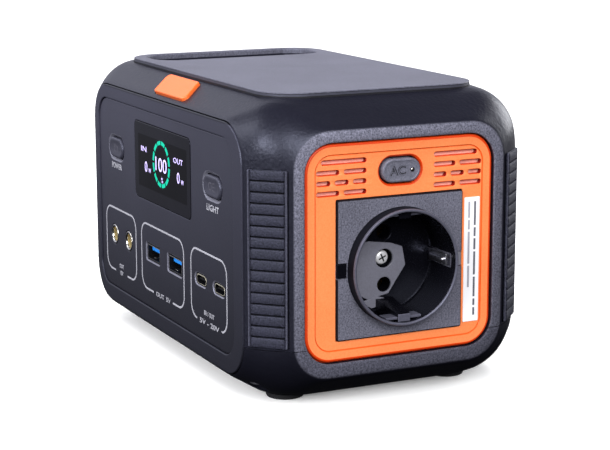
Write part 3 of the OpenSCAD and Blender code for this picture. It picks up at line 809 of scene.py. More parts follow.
posts = Build()
for px, py in POSTS:
    posts.lathe([(0, 1.0), (4.9, 1.0), (4.9, 11.6), (3.9, 11.8), (3.9, 22.9), (0, 22.9)], px, py, 32)
for v in outer3.data.vertices:     # the screw posts end just inside the outer skin
    v.co = Vector((-2.25, 0, 55)) + 0.992 * (v.co - Vector((-2.25, 0, 55)))
posts = carve(temp(posts), [("INTERSECT", outer3)])
holes = Build()
for px, py in POSTS:
    holes.lathe([(0, -3), (3.9, -3), (3.9, 2.0), (3.5, 6.2), (3.5, 10), (1.8, 10), (1.8, 30), (0, 30)], px, py, 32)
lip = carve(hull_solid(1.1, 0.55), [("INTERSECT", block(-150, 150, -100, 100, 20, 24.6)), ("DIFFERENCE", hull_solid(2.6, 1.2))])
tray = Build(UNDER)
tray.plate(rr(64, 30, 4, 0, 0, 6), -2.5, [(0, 1)])
lower = carve(outer2, [("DIFFERENCE", hull_solid(2.6, 1.2)), ("INTERSECT", block(-150, 150, -100, 100, -10, 22.87)),
                       ("UNION", posts), ("UNION", lip)] + cuts() + [("DIFFERENCE", joined([temp(holes), temp(tray)]))])
settle(lower, "case_shell_lower", ["case_lower"], replaces=["lower_shell"], angle=32)

# ------------------------------------------------------------------ top plate and handle
b = Build(TOP)
# painted shade: the foot of the plate's side and the groove under its lip take the dark liner colour (index 1)
b.plate(rr(147, 84, 14.5, -2.0, 0, 12), 107.8,
        [(0.0, 108.5, 1), (0.02, 108.58, 2), (0.02, 109.14, 2), (0.08, 109.2, 2), (0.3, 109.22, 1), (0.3, 109.36, 1), (0.02, 109.38, 1),
         (0.0, 109.44), (0.04, 109.62), (0.16, 109.74), (0.38, 109.8)],
        [(rr(24, 72.6, 9, -59.5, 0, 10), hole_edge(0.7, 109.8, 4) + [(0, 107.8)])])
piece("top_cover", b, ["top_skin", "liner", "top_edge"], replaces=["top_plate"])

# ------------------------------------------------------------------ front frame and panel
b = Build(FRONT)
b.plate(rr(151.3, 89.4, 14.6, -2.25, 55.1, 12), 50.4, fillet(0.4, 54.6, 4),
        [(rr(139.2, 77.5, 9.2, -3.6, 55.55, 12), hole_edge(0.35, 54.6, 3) + [(0, 52.0), (3.2, 52.0), (3.2, 50.4)])])
piece("front_frame", b, ["bezel"], replaces=["front_bezel"])

b = Build(FRONT)
holes = [(rr(58.4, 30.3, 2.5, -2.9, 74.25, 6), hole_edge(0.25, 54.0, 3) + [(0, 52.0)])]
# the rims of the key and port holes take the lighter panel colour (index 1), a painted highlight
for x in (-53.3, 46.7):
    holes.append((stad(16.4, 8.8, x, 75, 12), [(-1.0, 54.0), (-0.88, 53.97), (-0.75, 53.85), (-0.15, 53.35), (0, 53.2), (0, 52.0)], 1))
for x in (-57.7, -41.3):
    holes.append((circ(4.2, x, 38.8), hole_edge(0.25, 54.0, 3) + [(0, 52.0)]))
for x in (-14.1, 8.7):
    holes.append((rr(14.4, 6.8, 0.8, x, 39.0, 4), [(-0.45, 54.0), (-0.3, 53.92), (0, 53.5), (0, 52.0)], 1))
for x in (34.5, 51.5):
    holes.append((stad(10.8, 4.4, x, 38.8, 10), [(-0.4, 54.0), (-0.28, 53.93), (0, 53.6), (0, 52.0)], 1))
b.plate(rr(138.8, 77.1, 9, -3.6, 55.55, 12), 52.0, fillet(0.35, 54.0, 3), holes)
piece("front_panel", b, ["panel", "panel_rim_highlight"], replaces=["control_panel"])


def ribbon(b, pts, w, c0, c1, m=0, closed=False):
    """A flat printed line along a path of points."""
    n = len(pts)
    L, R = [], []
    for k in range(n):
        p0 = Vector(pts[k - 1] if (k > 0 or closed) else pts[k])
        p2 = Vector(pts[(k + 1) % n] if (k < n - 1 or closed) else pts[k])
        t = (p2 - p0).normalized()
        q = Vector((-t.y, t.x)) * w / 2
        p = Vector(pts[k])
        L.append(tuple(p + q))
        R.append(tuple(p - q))
    l0, l1 = b.loop(L, c0), b.loop(L, c1)
    r0, r1 = b.loop(R, c0), b.loop(R, c1)
    rng = n if closed else n - 1
    for k in range(rng):
        j = (k + 1) % n
        b.face((r1[k], r1[j], l1[j], l1[k]), m)
        b.face((l0[k], l1[k], l1[j], l0[j]), m)
        b.face((r0[j], r1[j], r1[k], r0[k]), m)
        b.face((l0[j], r0[j], r0[k], l0[k]), m)
    if not closed:
        b.face((r0[0], r1[0], l1[0], l0[0]), m)
        b.face((l0[-1], l1[-1], r1[-1], r0[-1]), m)


def frame_path(x0, x1, z0, z1, r, g0, g1, n=8):
    """Rounded frame from the right of the gap (g0..g1) in its bottom line round to the left of it."""
    out = [(g1, z0)]
    for cx, cy, a0 in ((x1 - r, z0 + r, -90), (x1 - r, z1 - r, 0), (x0 + r, z1 - r, 90), (x0 + r, z0 + r, 180)):
        for k in range(n + 1):
            t = math.radians(a0 + 90 * k / n)
            out.append((cx + r * math.cos(t), cy + r * math.sin(t)))
    out.append((g0, z0))
    return out


def letters(b, text, x, z, h, c0, c1, m=0, width=None, bold=0.0):
    """Flat raised characters, centred on (x, z), of cap height h."""
    cu = bpy.data.curves.new("t", "FONT")
    cu.body = text
    cu.size = 1.0
    cu.resolution_u = 3
    cu.offset = bold
    o = bpy.data.objects.new("t", cu)
    scene.collection.objects.link(o)
    bpy.context.view_layer.update()
    me = bpy.data.meshes.new_from_object(o.evaluated_get(bpy.context.evaluated_depsgraph_get()))
    bpy.data.objects.remove(o)
    xs = [v.co.x for v in me.vertices]
    ys = [v.co.y for v in me.vertices]
    s = h / (max(ys) - min(ys))
    sx = width / (max(xs) - min(xs)) if width else s
    cx, cy = (max(xs) + min(xs)) / 2, (max(ys) + min(ys)) / 2
    bm = bmesh.new()
    bm.from_mesh(me)
    bmesh.ops.remove_doubles(bm, verts=bm.verts, dist=1e-5)
    bm.verts.ensure_lookup_table()
    top = {v.index: b.pt(x + (v.co.x - cx) * sx, z + (v.co.y - cy) * s, c1) for v in bm.verts}
    for f in bm.faces:
        idx = [top[v.index] for v in f.verts]
        a = sum(b.l[idx[k]][0] * b.l[idx[(k + 1) % len(idx)]][1] - b.l[idx[(k + 1) % len(idx)]][0] * b.l[idx[k]][1] for k in range(len(idx)))
        b.face(idx if a > 0 else idx[::-1], m)
    for e in bm.edges:
        if len(e.link_faces) == 1:
            f = e.link_faces[0]
            lp = next(q for q in f.loops if q.edge == e)
            v0, v1 = lp.vert.index, lp.link_loop_next.vert.index
            i0, i1 = top[v0], top[v1]
            p0, p1 = b.l[i0], b.l[i1]
            j0, j1 = b.pt(p0[0], p0[1], c0), b.pt(p1[0], p1[1], c0)
            b.face((i0, j0, j1, i1), m)
    bm.free()
    bpy.data.meshes.remove(me)


b = Build(FRONT)
for x0, x1, g0, g1 in ((-67.7, -32.4, -57.5, -43.5), (-26.7, 18.5, -14.0, 6.5), (24.9, 59.0, 30.6, 54.0)):
    ribbon(b, frame_path(x0 + 0.35, x1 - 0.35, 23.8, 49.8, 5.2, g0, g1), 0.7, 53.98, 54.04)
letters(b, "OUT", -50.4, 26.6, 1.7, 53.98, 54.04, bold=0.01)
letters(b, "12V", -50.4, 23.7, 1.8, 53.98, 54.04, bold=0.01)
letters(b, "OUT  5V", -3.7, 23.8, 1.8, 53.98, 54.04, bold=0.01, width=15)
letters(b, "IN / OUT", 42.3, 27.4, 1.8, 53.98, 54.04, bold=0.01, width=9.5)
letters(b, "5V - 20V", 42.3, 23.8, 1.9, 53.98, 54.04, bold=0.01, width=18)
letters(b, "POWER", -53.3, 67.6, 2.3, 53.98, 54.04, bold=0.015, width=11.5)
letters(b, "LIGHT", 46.7, 67.2, 2.4, 53.98, 54.04, bold=0.015, width=11.0)
piece("panel_printing", b, ["print_grey"], angle=20, weld=False)

# ------------------------------------------------------------------ display
b = Build(FRONT)
b.plate(rr(58, 29.9, 2.3, -2.9, 74.25, 6), 52.5, fillet(0.2, 54.1, 3))
piece("display_glass", b, ["window"], replaces=["display_window"])
b = Build(FRONT)
b.plate(rr(50.2, 20.4, 0.4, -2.6, 74.4, 3), 54.08, [(0, 54.12)])
piece("display_field", b, ["window_active"])
b = Build(FRONT)
seg = 12
for k in range(seg):
    a0 = 90 + 360 * k / seg + 3.0
    a1 = 90 + 360 * (k + 1) / seg - 3.0
    ribbon(b, [(-3.1 + 8.2 * math.cos(math.radians(a0 + (a1 - a0) * j / 6)), 75.6 + 8.2 * math.sin(math.radians(a0 + (a1 - a0) * j / 6))) for j in range(7)],
           1.5, 54.1, 54.16)
piece("display_ring", b, ["glow_ring"], angle=20, weld=False)
b = Build(FRONT)
letters(b, "100", -3.3, 75.3, 5.4, 54.1, 54.16, width=11.6)
letters(b, "%", -2.4, 69.6, 2.0, 54.1, 54.16)
letters(b, "IN", -21.6, 79.1, 2.0, 54.1, 54.16, width=5.6)
letters(b, "OUT", 14.2, 79.3, 2.0, 54.1, 54.16, width=9.4)
letters(b, "0", -19.4, 72.4, 4.1, 54.1, 54.16, width=2.6)
letters(b, "W", -15.4, 71.4, 1.7, 54.1, 54.16)
letters(b, "0", 14.3, 73.1, 4.1, 54.1, 54.16, width=2.6)
letters(b, "W", 18.3, 72.0, 1.7, 54.1, 54.16)
piece("display_digits", b, ["glow_digit"], angle=20, weld=False)


# ------------------------------------------------------------------ front keys
def front_key(name, x, node, body, icon):
    b = Build(FRONT)
    # the surround under the cap takes the near-black groove colour (index 2), painted shade in the gap round the key
    b.plate(stad(18.6, 11, x, 75, 12), 50.6, [(0, 51.6), (0.1, 51.8)], m=2)
    dish = fillet(0.75, 54.5, 5) + [(1.15, 54.5), (1.7, 54.42), (2.4, 54.33), (3.2, 54.29)]
    b.plate(stad(15.6, 8, x, 75, 12), 51.7, dish)
    b.lathe([(0, 48.7), (1.7, 48.7), (2.0, 49.0), (2.0, 50.8)], x, 75, 24)
    if icon == "power":
        pts = [(x + 1.75 * math.cos(math.radians(t)), 74.8 + 1.75 * math.sin(math.radians(t))) for t in range(125, 416, 15)]
        ribbon(b, pts, 0.4, 54.2, 54.34, 1)
        ribbon(b, [(x, 74.9), (x, 76.9)], 0.4, 54.2, 54.34, 1)
    else:
        ribbon(b, [(x - 2.6, 76.2), (x - 0.9, 76.2), (x - 0.4, 75.9), (x - 0.4, 74.1), (x - 0.9, 73.8), (x - 2.6, 73.8)], 0.35, 54.2, 54.34, 1)
        ribbon(b, [(x - 2.6, 76.3), (x - 2.6, 73.7)], 0.35, 54.2, 54.34, 1)
        for dz, sl in ((1.1, 0.5), (0, 0), (-1.1, -0.5)):
            ribbon(b, [(x + 0.5, 75 + dz), (x + 2.6, 75 + dz + sl)], 0.35, 54.2, 54.34, 1)
    piece(name, b, ["key", "key_mark", "groove"], body, replaces=[node])


front_key("power_key_cap", -53.3, "power_button", "power_key", "power")
front_key("light_key_cap", 46.7, "light_button", "light_key", "light")

# ------------------------------------------------------------------ ports
b = Build(FRONT)
for x in (-57.7, -41.3):
    b.lathe([(4.0, 44.0), (4.05, 52.6), (4.05, 53.75), (3.9, 53.98), (3.62, 54.08), (3.35, 54.05), (3.05, 53.8), (2.9, 53.5), (2.88, 53.3)],
            x, 38.8, 48, m=0)
    b.lathe([(2.88, 53.3), (2.86, 45.4), (1.3, 45.3), (1.05, 45.5), (1.05, 52.2), (0.95, 52.55), (0.7, 52.8), (0.35, 52.93), (0, 52.95)], x, 38.8, 48, m=1)
    b.box(x - 4.8, x + 4.8, 34.0, 43.6, 43.0, 51.6, 0.5, 2)
piece("barrel_jacks", b, ["nickel", "jack_brass", "usb_black"], replaces=["dc_jacks"])

b = Build(FRONT)
for x in (-14.1, 8.7):
    z = 39.0
    # black surround, then the folded steel shell
    b.plate(rr(14.3, 6.7, 0.75, x, z, 4), 52.0, [(0, 53.45), (0.12, 53.55)], [(rr(13.25, 5.85, 0.6, x, z, 4), [(0, 53.55), (0, 52.0)])], m=1)
    b.plate(rr(13.2, 5.8, 0.6, x, z, 4), 43.0, [(0, 53.45), (0.08, 53.6), (0.2, 53.62)],
            [(rr(12.5, 5.1, 0.4, x, z, 4), [(0, 53.62), (0.06, 53.5), (0.06, 43.6)], 1, True)], m=0)
    for dx in (-3.2, 3.2):   # retaining springs
        b.box(x + dx - 1.1, x + dx + 1.1, z - 2.5, z - 2.28, 46.5, 52.2, 0.1, 0)
        b.box(x + dx - 1.1, x + dx + 1.1, z + 2.28, z + 2.5, 46.5, 52.2, 0.1, 0)
piece("usb_a_ports", b, ["nickel", "usb_black"], replaces=["usb_a_shells"])

b = Build(FRONT)
for x in (-14.1, 8.7):
    b.plate(rr(11.2, 1.9, 0.3, x, 40.1, 3), 43.6, fillet(0.3, 52.1, 3), m=0)
    for k in range(4):
        dx = (-3.5, -1.0, 1.0, 3.5)[k]
        b.box(x + dx - 0.5, x + dx + 0.5, 39.04, 39.2, 44.5, 50.2, 0.07, 1)
piece("usb_a_inserts", b, ["usb_blue", "usb_gold"], replaces=["usb_a_tongues"])

b = Build(FRONT)
for x in (34.5, 51.5):
    z = 38.8
    b.plate(stad(10.7, 4.3, x, z, 10), 52.0, [(0, 53.5), (0.1, 53.6)], [(stad(9.25, 3.65, x, z, 10), [(0, 53.6), (0, 52.0)])], m=1)
    b.plate(stad(9.2, 3.6, x, z, 10), 43.0, [(0, 53.55), (0.08, 53.68), (0.18, 53.7)],
            [(stad(8.6, 3.0, x, z, 10), [(0, 53.7), (0.05, 53.6), (0.05, 43.6)], 1, True)], m=0)
piece("usb_c_ports", b, ["usb_c_rim", "usb_black"], replaces=["usb_c_shells"])
b = Build(FRONT)
for x in (34.5, 51.5):
    b.plate(rr(6.7, 0.7, 0.15, x, 38.8, 3), 43.6, fillet(0.12, 53.0, 2), m=0)
    for k in range(12):
        for s in (0.36, -0.36):
            b.box(x - 2.75 + 0.5 * k - 0.12, x - 2.75 + 0.5 * k + 0.12, 38.8 + s - 0.03, 38.8 + s + 0.03, 46, 52.6, 0.02, 1)
piece("usb_c_inserts", b, ["usb_black", "usb_gold"], replaces=["usb_c_tongues"])

# ------------------------------------------------------------------ badge
b = Build(CHAMFER)
shape = poly_round([(-9.8, -2.6), (16.4, -2.6), (12, 4.2), (-14.1, 4.2)], 1.8, 8)
b.plate(shape, -1.1, fillet(0.4, 0.45, 3) + [(0.55, 0.45), (0.7, 0.38), (1.0, 0.38)])
piece("badge_plate", b, ["badge_orange", "case_upper"], replaces=["badge"])


# ------------------------------------------------------------------ corner grips
def grips():
    whole = Build()
    z0, z1, n, w = 23.9, 85.9, 16, 14.6
    p = (z1 - z0) / n
    for sx in (1, -1):
        for sy in (1, -1):
            b = Build(corner_frame(sx, sy))
            # the base plate under the ribs and the walls of their pocket take the near-black groove colour (index 1),
            # painted shade between the ribs
            b.plate(rr(w, z1 - z0, 0.8, 0, (z0 + z1) / 2, 4), -1.2, [(0, -0.6), (0.12, -0.5)], m=1)
            b.plate(rr(w, z1 - z0, 0.8, 0, (z0 + z1) / 2, 4), -0.6, [(0, -0.05), (0.12, 0.08)],
                    [(rr(w - 2.0, z1 - z0 - 0.5, 0.3, 0, (z0 + z1) / 2, 4), [(0, 0.08), (0, -0.6)], 1)])
            # border rails in the lighter grip colour (index 2), a painted highlight
            for s in (1, -1):    # border rails
                b.box(s * (w / 2 - 0.42) - 0.22, s * (w / 2 - 0.42) + 0.22, z0 + 0.3, z1 - 0.3, 0.0, 0.3, 0.15, 2)
            for k in range(n):
                lo, hi = z0 + p * k + 0.26, z0 + p * (k + 1) - 0.26
                m = 11
                prof = [(lo + (hi - lo) * 0.5 * (1 - math.cos(PI * j / m)), -0.5 + 0.9 * min(1.0, 5 * math.sin(PI * j / m) ** 1.3)
                         + 0.14 * math.sin(PI * j / m) ** 2) for j in range(m + 1)]
                cols = []
                q, wr = 16, w - 2.0
                for i in range(q + 1):
                    a = -0.5 * wr * math.cos(PI * i / q)
                    e = min(1.0, (wr / 2 - abs(a)) / 0.7)
                    e = math.sqrt(max(0.0, 1 - (1 - e) ** 2))
                    cols.append([b.pt(a, zz, (h + 0.5) * (0.1 + 0.9 * e) - 0.5) for zz, h in prof])
                for A, B in zip(cols, cols[1:]):
                    for j in range(m):
                        b.face((A[j], B[j], B[j + 1], A[j + 1]))
            whole.add(b)
    return whole


piece("corner_grip_pads", grips(), ["grip", "groove", "grip_rail_highlight"], replaces=["corner_grips"], angle=50)

# ------------------------------------------------------------------ socket end
VENTS = [(87.5, [(13.4, 30.4)]), (83.9, [(13.4, 21.7), (23.8, 32.2)]),
         (80.3, [(13.4, 18.2), (20.2, 25.2), (27.2, 32.2)]), (76.7, [(13.4, 21.7), (23.8, 32.2)])]
b = Build(END)
FIELD = 85.72
# the rounded outer rim (index 1) and the step round the field (index 3) take darker oranges, painted shade
top = [(q[0], q[1], 1) for q in fillet(0.7, 86.0, 4)] + [(0.95, 86.0, 1), (1.6, 86.0),
                                                         (3.62, 86.0), (3.74, 85.9, 3), (3.84, 85.62, 3), (3.98, 85.62, 3), (4.1, FIELD, 3)]
# the walls of the key hole and the vent slots take the darker orange (index 1), painted shade
holes = [(rr(49.9, 49.9, 0.5, 0, 49.5, 3), hole_edge(0.2, FIELD, 2) + [(0, 83.4)]),
         (stad(16.2, 9.5, 0, 83, 12), [(-0.75, FIELD), (-0.6, 85.68), (-0.1, 85.2), (0, 85.0), (0, 83.4)], 1)]
for z, runs in VENTS:
    for y0, y1 in runs:
        for sgn in (1, -1):
            c = sgn * (y0 + y1) / 2
            holes.append((stad(y1 - y0, 1.5, c, z, 5), [(-0.22, FIELD), (-0.1, 85.66), (0, 85.45), (0, 83.4)], 1))
b.plate(rr(73.4, 76.2, 9.8, 0, 55.7, 12), 83.4, top, holes)
ENDS = [(s * (y0 + y1) / 2 + (y1 - y0) / 2, z) for z, runs in VENTS for y0, y1 in runs for s in (1, -1)]
for k, q in enumerate(b.f):      # the shaded end wall of each slot
    if b.mi[k] == 1 and len(q) == 4:
        ca, cb = sum(b.l[i][0] for i in q) / 4, sum(b.l[i][1] for i in q) / 4
        if any(abs(cb - z) < 0.8 and e - 0.75 < ca < e + 0.1 for e, z in ENDS):
            b.mi[k] = 2
# hidden lip behind the case wall and the two switch posts
lipb = Build(END)
lipb.plate(rr(78.6, 81.4, 12, 0, 55.7, 10), 82.2, [(0, 84.3)], [(rr(70, 72.6, 8, 0, 55.7, 10), [(0, 84.3), (0, 82.2)])], m=1)
for s in (-1, 1):
    lipb.lathe([(1.6, 83.6), (1.6, 74.0), (0, 74.0)][::-1], s * 11.2, 83, 20)
b.add(lipb)
piece("socket_end_panel", b, ["orange", "orange_shaded", "orange_dark", "orange_step_shade"], replaces=["ac_end_panel"])

# pale plates behind the vent slots, painted light for the lit slot interiors
b = Build(END)
for s in (1, -1):
    b.plate(rr(20.4, 13.6, 0.8, s * 22.8, 82.1, 4), 83.42, [(0, 83.7), (0.1, 83.8)])
piece("vent_lit_backing", b, ["vent_painted_light"])

b = Build(END)
rim = fillet(0.6, 86.75, 4) + [(0.85, 86.75), (1.0, 86.6), (1.2, 86.58), (1.6, 86.55)]
b.plate(stad(15, 8.3, 0, 83, 12), 82.1, rim)
# the skirt round the cap takes the dark mark colour (index 1), painted shade in the gap round the key
b.plate(stad(18, 11.3, 0, 83, 12), 82.1, [(0, 83.1), (0.1, 83.3)], m=1)
b.lathe([(0, 79.6), (1.7, 79.6), (2.0, 79.9), (2.0, 82.3)], 0, 83, 24)
letters(b, "AC", -1.5, 83, 3.5, 86.4, 86.6, m=1, width=6.4, bold=0.035)
letters(b, "AC", -1.5, 83, 3.3, 86.4, 86.64, m=0, width=6.0, bold=-0.022)
b.lathe([(0.85, 86.4), (0.85, 86.6), (0.62, 86.62)], 4.3, 83, 20, m=1)
b.lathe([(0.6, 86.5), (0.6, 86.62), (0.5, 86.7), (0.3, 86.74), (0, 86.76)], 4.3, 83, 20, m=2)
piece("ac_key_cap", b, ["ac_key", "ac_print_and_gap_shade", "nickel"], "ac_key", replaces=["ac_button"])

b = Build(END)
b.plate(rr(6.2, 45.2, 0.25, 28.9, 48.6, 3), 85.68, [(0, 85.9), (0.03, 85.93)])
for y, runs in ((30.1, ((69.6, 61.0), (60.2, 57.0), (56.2, 52.2), (51.4, 43.0), (42.2, 35.0), (34.2, 31.8), (31.0, 28.2))),
                (27.7, ((69.6, 63.8), (63.0, 59.6), (58.8, 47.2), (46.4, 38.6)))):
    for z1, z0 in runs:
        b.box(y - 0.4, y + 0.4, z0, z1, 85.9, 86.0, 0.05, 1 if y > 29 else 2)
piece("end_label", b, ["label", "label_ink", "label_pale"], replaces=["rating_label"])

# ------------------------------------------------------------------ mains socket
SZ = 49.5
b = Build(END)
N = 72
ring = lambda r, c: b.loop(circ(r, 0, SZ, N)(0), c)
sq = rr(49.5, 49.5, 0.9, 0, SZ, 4)
# the plate's sides and the collar's outer wall take index 3, near-black painted shade
side = [b.loop(sq(0), 83.4)] + [b.loop(sq(i), z) for i, z in fillet(0.4, 86.5, 3)]
for A, B in zip(side, side[1:]):
    b.strip(A, B, 3)
base = ring(21.1, 86.5)
b.cap([side[-1], base], 0, True)
prev = base
# the well wall, floor and pin holes take the near-black indices 1 and 5, painted shade inside the well
for r, c, m in ((20.85, 86.5, 0), (20.8, 86.2, 3), (20.66, 86.2, 3), (20.66, 90.6, 3), (20.62, 91.1, 4), (20.5, 91.38, 4), (20.25, 91.5, 4),
                (19.95, 91.48, 4), (19.68, 91.3, 4), (19.55, 90.95, 4), (19.5, 90.4, 1), (19.5, 75.4, 1), (19.42, 74.75, 5), (19.1, 74.2, 5), (18.6, 74.0, 5)):
    cur = ring(r, c)
    b.strip(prev, cur, m)
    prev = cur
floor_holes = []
bottoms = []
for z in (SZ + 9.5, SZ - 9.5):
    prof = [(3.15, 74.0), (3.0, 73.9), (2.6, 73.45), (2.6, 68.0)]
    hs = [b.loop(circ(r, 0, z, 40)(0), c) for r, c in prof]
    for A, B in zip(hs, hs[1:]):
        b.strip(A, B, 1)
    floor_holes.append(hs[0])
    bottoms.append(hs[-1])
hs = [b.loop(circ(r, 0, SZ, 40)(0), c) for r, c in ((3.75, 74.0), (3.6, 73.92), (3.4, 73.6), (3.4, 71.0))]
for A, B in zip(hs, hs[1:]):
    b.strip(A, B, 1)
b.cap([hs[-1]], 1, True)
floor_holes.append(hs[0])
b.cap([prev] + floor_holes, 1, True)
# rear: flange, barrel and back face
fl0, fl1 = b.loop(rr(54, 54, 1, 0, SZ, 4)(0), 81.4), b.loop(rr(54, 54, 1, 0, SZ, 4)(0), 83.4)
b.strip(fl0, fl1, 0)
b.cap([fl1, side[0]], 0, True)
br0, br1 = ring(22, 68.0), ring(22, 81.4)
b.strip(br0, br1, 1)
b.cap([fl0, br1], 0, False)
b.cap([br0] + bottoms, 1, False)
sock = temp(b, "sock")
for k in range(6):
    sock.data.materials.append(None)
tools = Build()
for s in (-1, 1):
    y0, y1 = (18.2, 20.4) if s > 0 else (-20.4, -18.2)
    t = Build()
    A = t.loop([(66, y0), (88, y0), (88, y1), (66, y1)], SZ - 2.6)
    B = t.loop([(66, y0), (88, y0), (88, y1), (66, y1)], SZ + 2.6)
    t.strip(A, B); t.cap([A], up=False); t.cap([B], up=True)
    tools.add(t)
clips_cut = temp(tools)
tools = Build()
for s in (-1, 1):
    y0, y1 = (20.9, 25.2) if s > 0 else (-25.2, -20.9)
    t = Build()
    A = t.loop([(85.2, y0), (88, y0), (88, y1), (85.2, y1)], SZ - 2.8)
    B = t.loop([(85.2, y0), (88, y0), (88, y1), (85.2, y1)], SZ + 2.8)
    t.strip(A, B); t.cap([A], up=False); t.cap([B], up=True)
    tools.add(t)
carve(sock, [("DIFFERENCE", clips_cut), ("DIFFERENCE", temp(tools))], "EXACT")
settle(sock, "mains_socket", ["socket_plate", "socket_well_shade", "socket_lit_patch", "socket_side_shade", "socket_rim", "socket_well_shade"], replaces=["socket_body"], angle=35)

def wedge(b, lo, hi, c0, c1, m=(0, 0, 0)):
    """Block from the section lo = (a0, a1, b0, b1) at depth c0 to hi at c1; m: sides, top of the slope (not used), end.
    """
    A = b.loop([(lo[0], lo[2]), (lo[1], lo[2]), (lo[1], lo[3]), (lo[0], lo[3])], c0)
    B = b.loop([(hi[0], hi[2]), (hi[1], hi[2]), (hi[1], hi[3]), (hi[0], hi[3])], c1)
    e = 0.25
    C = b.loop([(hi[0] + e, hi[2] + e), (hi[1] - e, hi[2] + e), (hi[1] - e, hi[3] - e), (hi[0] + e, hi[3] - e)], c1 + 0.2)
    b.strip(A, B, m[0])
    b.strip(B, C, m[2])
    b.cap([A], m[0], False)
    b.cap([C], m[2], True)


b = Build(END)
for s in (1, -1):   # guide blocks that taper towards the rim, with a shoulder on each side
    if s > 0:
        wedge(b, (-3.6, 3.6, SZ + 14.6, SZ + 18.6), (-2.4, 2.4, SZ + 17.0, SZ + 19.6), 73.5, 89.4)
    else:
        wedge(b, (-3.6, 3.6, SZ - 18.6, SZ - 14.2), (-2.4, 2.4, SZ - 19.6, SZ - 16.8), 73.5, 89.4, (0, 0, 1))
    for d in (1, -1):
        a0, a1 = sorted((d * 2.4, d * 7.0))
        z0, z1 = (SZ + 17.9, SZ + 18.7) if s > 0 else (SZ - 18.7, SZ - 17.7)
        b.box(a0, a1, z0, z1, 84.0, 89.2, 0.3, 1)
    # painted light: a pale lit patch on the floor beside the lower guide
    if s < 0:
        b.plate(poly_round([(3.2, SZ - 15.6), (-3.4, SZ - 13.6), (-8.5, SZ - 15.4), (-5.0, SZ - 17.4)], 0.3, 3), 74.0, [(0, 74.6), (0.15, 74.75)], m=2)
# the right tab is painted light grey as if lit; the left one takes the near-black well colour
for s in (1, -1):   # tabs that close the side notches
    b.box(min(s * 21.0, s * 24.6), max(s * 21.0, s * 24.6), SZ - 2.5, SZ + 2.5, 84.8, 86.2, 0.25, 0 if s < 0 else 3)
piece("socket_guides", b, ["socket_well_shade", "socket_rim", "socket_lit_patch", "tab_painted_light"])

# painted pool of light: a raised pale pad where light falls on the socket floor
b = Build(END)   # raised pad of the socket floor
pad = poly_round([(8.0, SZ - 2.9), (6.8, SZ + 3.3), (2.4, SZ + 4.9), (-6.0, SZ + 6.1), (-12.4, SZ + 5.6), (-15.9, SZ + 1.3), (-15.4, SZ - 5.3),
                  (-11.8, SZ - 11.0), (-6.4, SZ - 13.9), (1.4, SZ - 12.5)], 0.55, 4)
b.plate(pad, 73.7, fillet(0.3, 74.5, 3), [(circ(3.45, 0, SZ, 40), hole_edge(0.25, 74.5, 3) + [(0, 73.7)]),
                                         (circ(2.75, 0, SZ - 9.5, 40), hole_edge(0.25, 74.5, 3) + [(0, 73.7)])])
piece("socket_floor_lit_pad", b, ["socket_lit_patch"])

b = Build(END)
for s in (1, -1):
    y = s * 18.2
    b.box(min(s * 18.4, s * 19.2), max(s * 18.4, s * 19.2), SZ - 2, SZ + 2, 57, 86, 0.2, 0)
    b.lathe([(0, 75.4), (0.55, 75.5), (0.9, 75.8), (1.1, 76.3), (1.1, 84.2), (1.0, 84.75), (0.72, 85.2), (0.3, 85.42), (0, 85.45)], y, SZ, 28, 0)
b.box(-19.2, 19.2, SZ - 2.4, SZ + 2.4, 57.0, 58.0, 0.2, 0)
piece("earth_springs", b, ["spring_steel"], replaces=["earth_clips"])

b = Build(END)
b.lathe([(0, 58), (1.5, 58), (1.5, 71.0), (2.6, 71.05), (2.6, 72.0), (2.4, 72.5), (2.0, 72.8), (1.3, 72.96), (0, 73.0)], 0, SZ, 40)
# the cross recess is drawn as a thin dark cross standing on the head, painted shade in place of a real recess
for k in (0, 1):     # cross recess
    t = math.radians(24 + 90 * k)
    u, v = (math.cos(t), math.sin(t)), (-math.sin(t), math.cos(t))
    pts = [(u[0] * g + v[0] * h, SZ + u[1] * g + v[1] * h) for g, h in ((-1.5, -0.28), (1.5, -0.28), (1.5, 0.28), (-1.5, 0.28))]
    A, B = b.loop(pts, 72.9), b.loop(pts, 73.03 + 0.01 * k)
    b.strip(A, B, 1)
    b.cap([B], 1, True)
piece("socket_screw_head", b, ["screw_steel", "usb_black"], replaces=["socket_screw"])

# ------------------------------------------------------------------ far end
b = Build(FAR)
top = fillet(0.45, 90.5, 4) + [(0.62, 90.5), (0.72, 90.45), (0.85, 90.22)]
# the slot walls take the darker orange (index 1), painted shade
holes = [(rr(46, 12, 3, 0, 62, 6), hole_edge(0.35, 90.22, 3) + [(0, 87.9)])]
for k in range(-4, 5):
    w = math.sqrt(289 - 12.25 * k * k)
    for s in (1, -1):
        y0, y1 = 0.75, w
        holes.append((stad(y1 - y0, 1.4, s * (y0 + y1) / 2, 33.5 + 3.5 * k, 5), [(-0.2, 90.22), (-0.08, 90.16), (0, 90.0), (0, 87.9)], 1))
b.plate(rr(73.8, 54.6, 10, 0, 44.7, 12), 87.9, top, holes)
lipb = Build(FAR)
lipb.plate(rr(78.6, 59.4, 12, 0, 44.7, 10), 86.75, [(0, 88.8)], [(rr(70, 50.6, 8, 0, 44.7, 10), [(0, 88.8), (0, 86.75)])], m=1)
b.add(lipb)
piece("far_panel", b, ["orange", "orange_shaded"], replaces=["far_end_panel"])

b = Build(FAR)
b.plate(rr(49, 14.6, 3, 0, 62, 6), 86.9, [(0, 87.8)])
face = fillet(0.5, 90.85, 4)
b.plate(rr(45.6, 11.6, 2.8, 0, 62, 6), 87.7, face)
for k in range(-10, 11):   # prism bars that spread the light
    b.plate(rr(1.3, 8.8, 0.6, k * 2.05, 62, 3), 90.7, [(0, 90.86), (0.3, 91.02), (0.6, 91.06)])
piece("lamp_diffuser", b, ["lens"], replaces=["lamp_lens"])

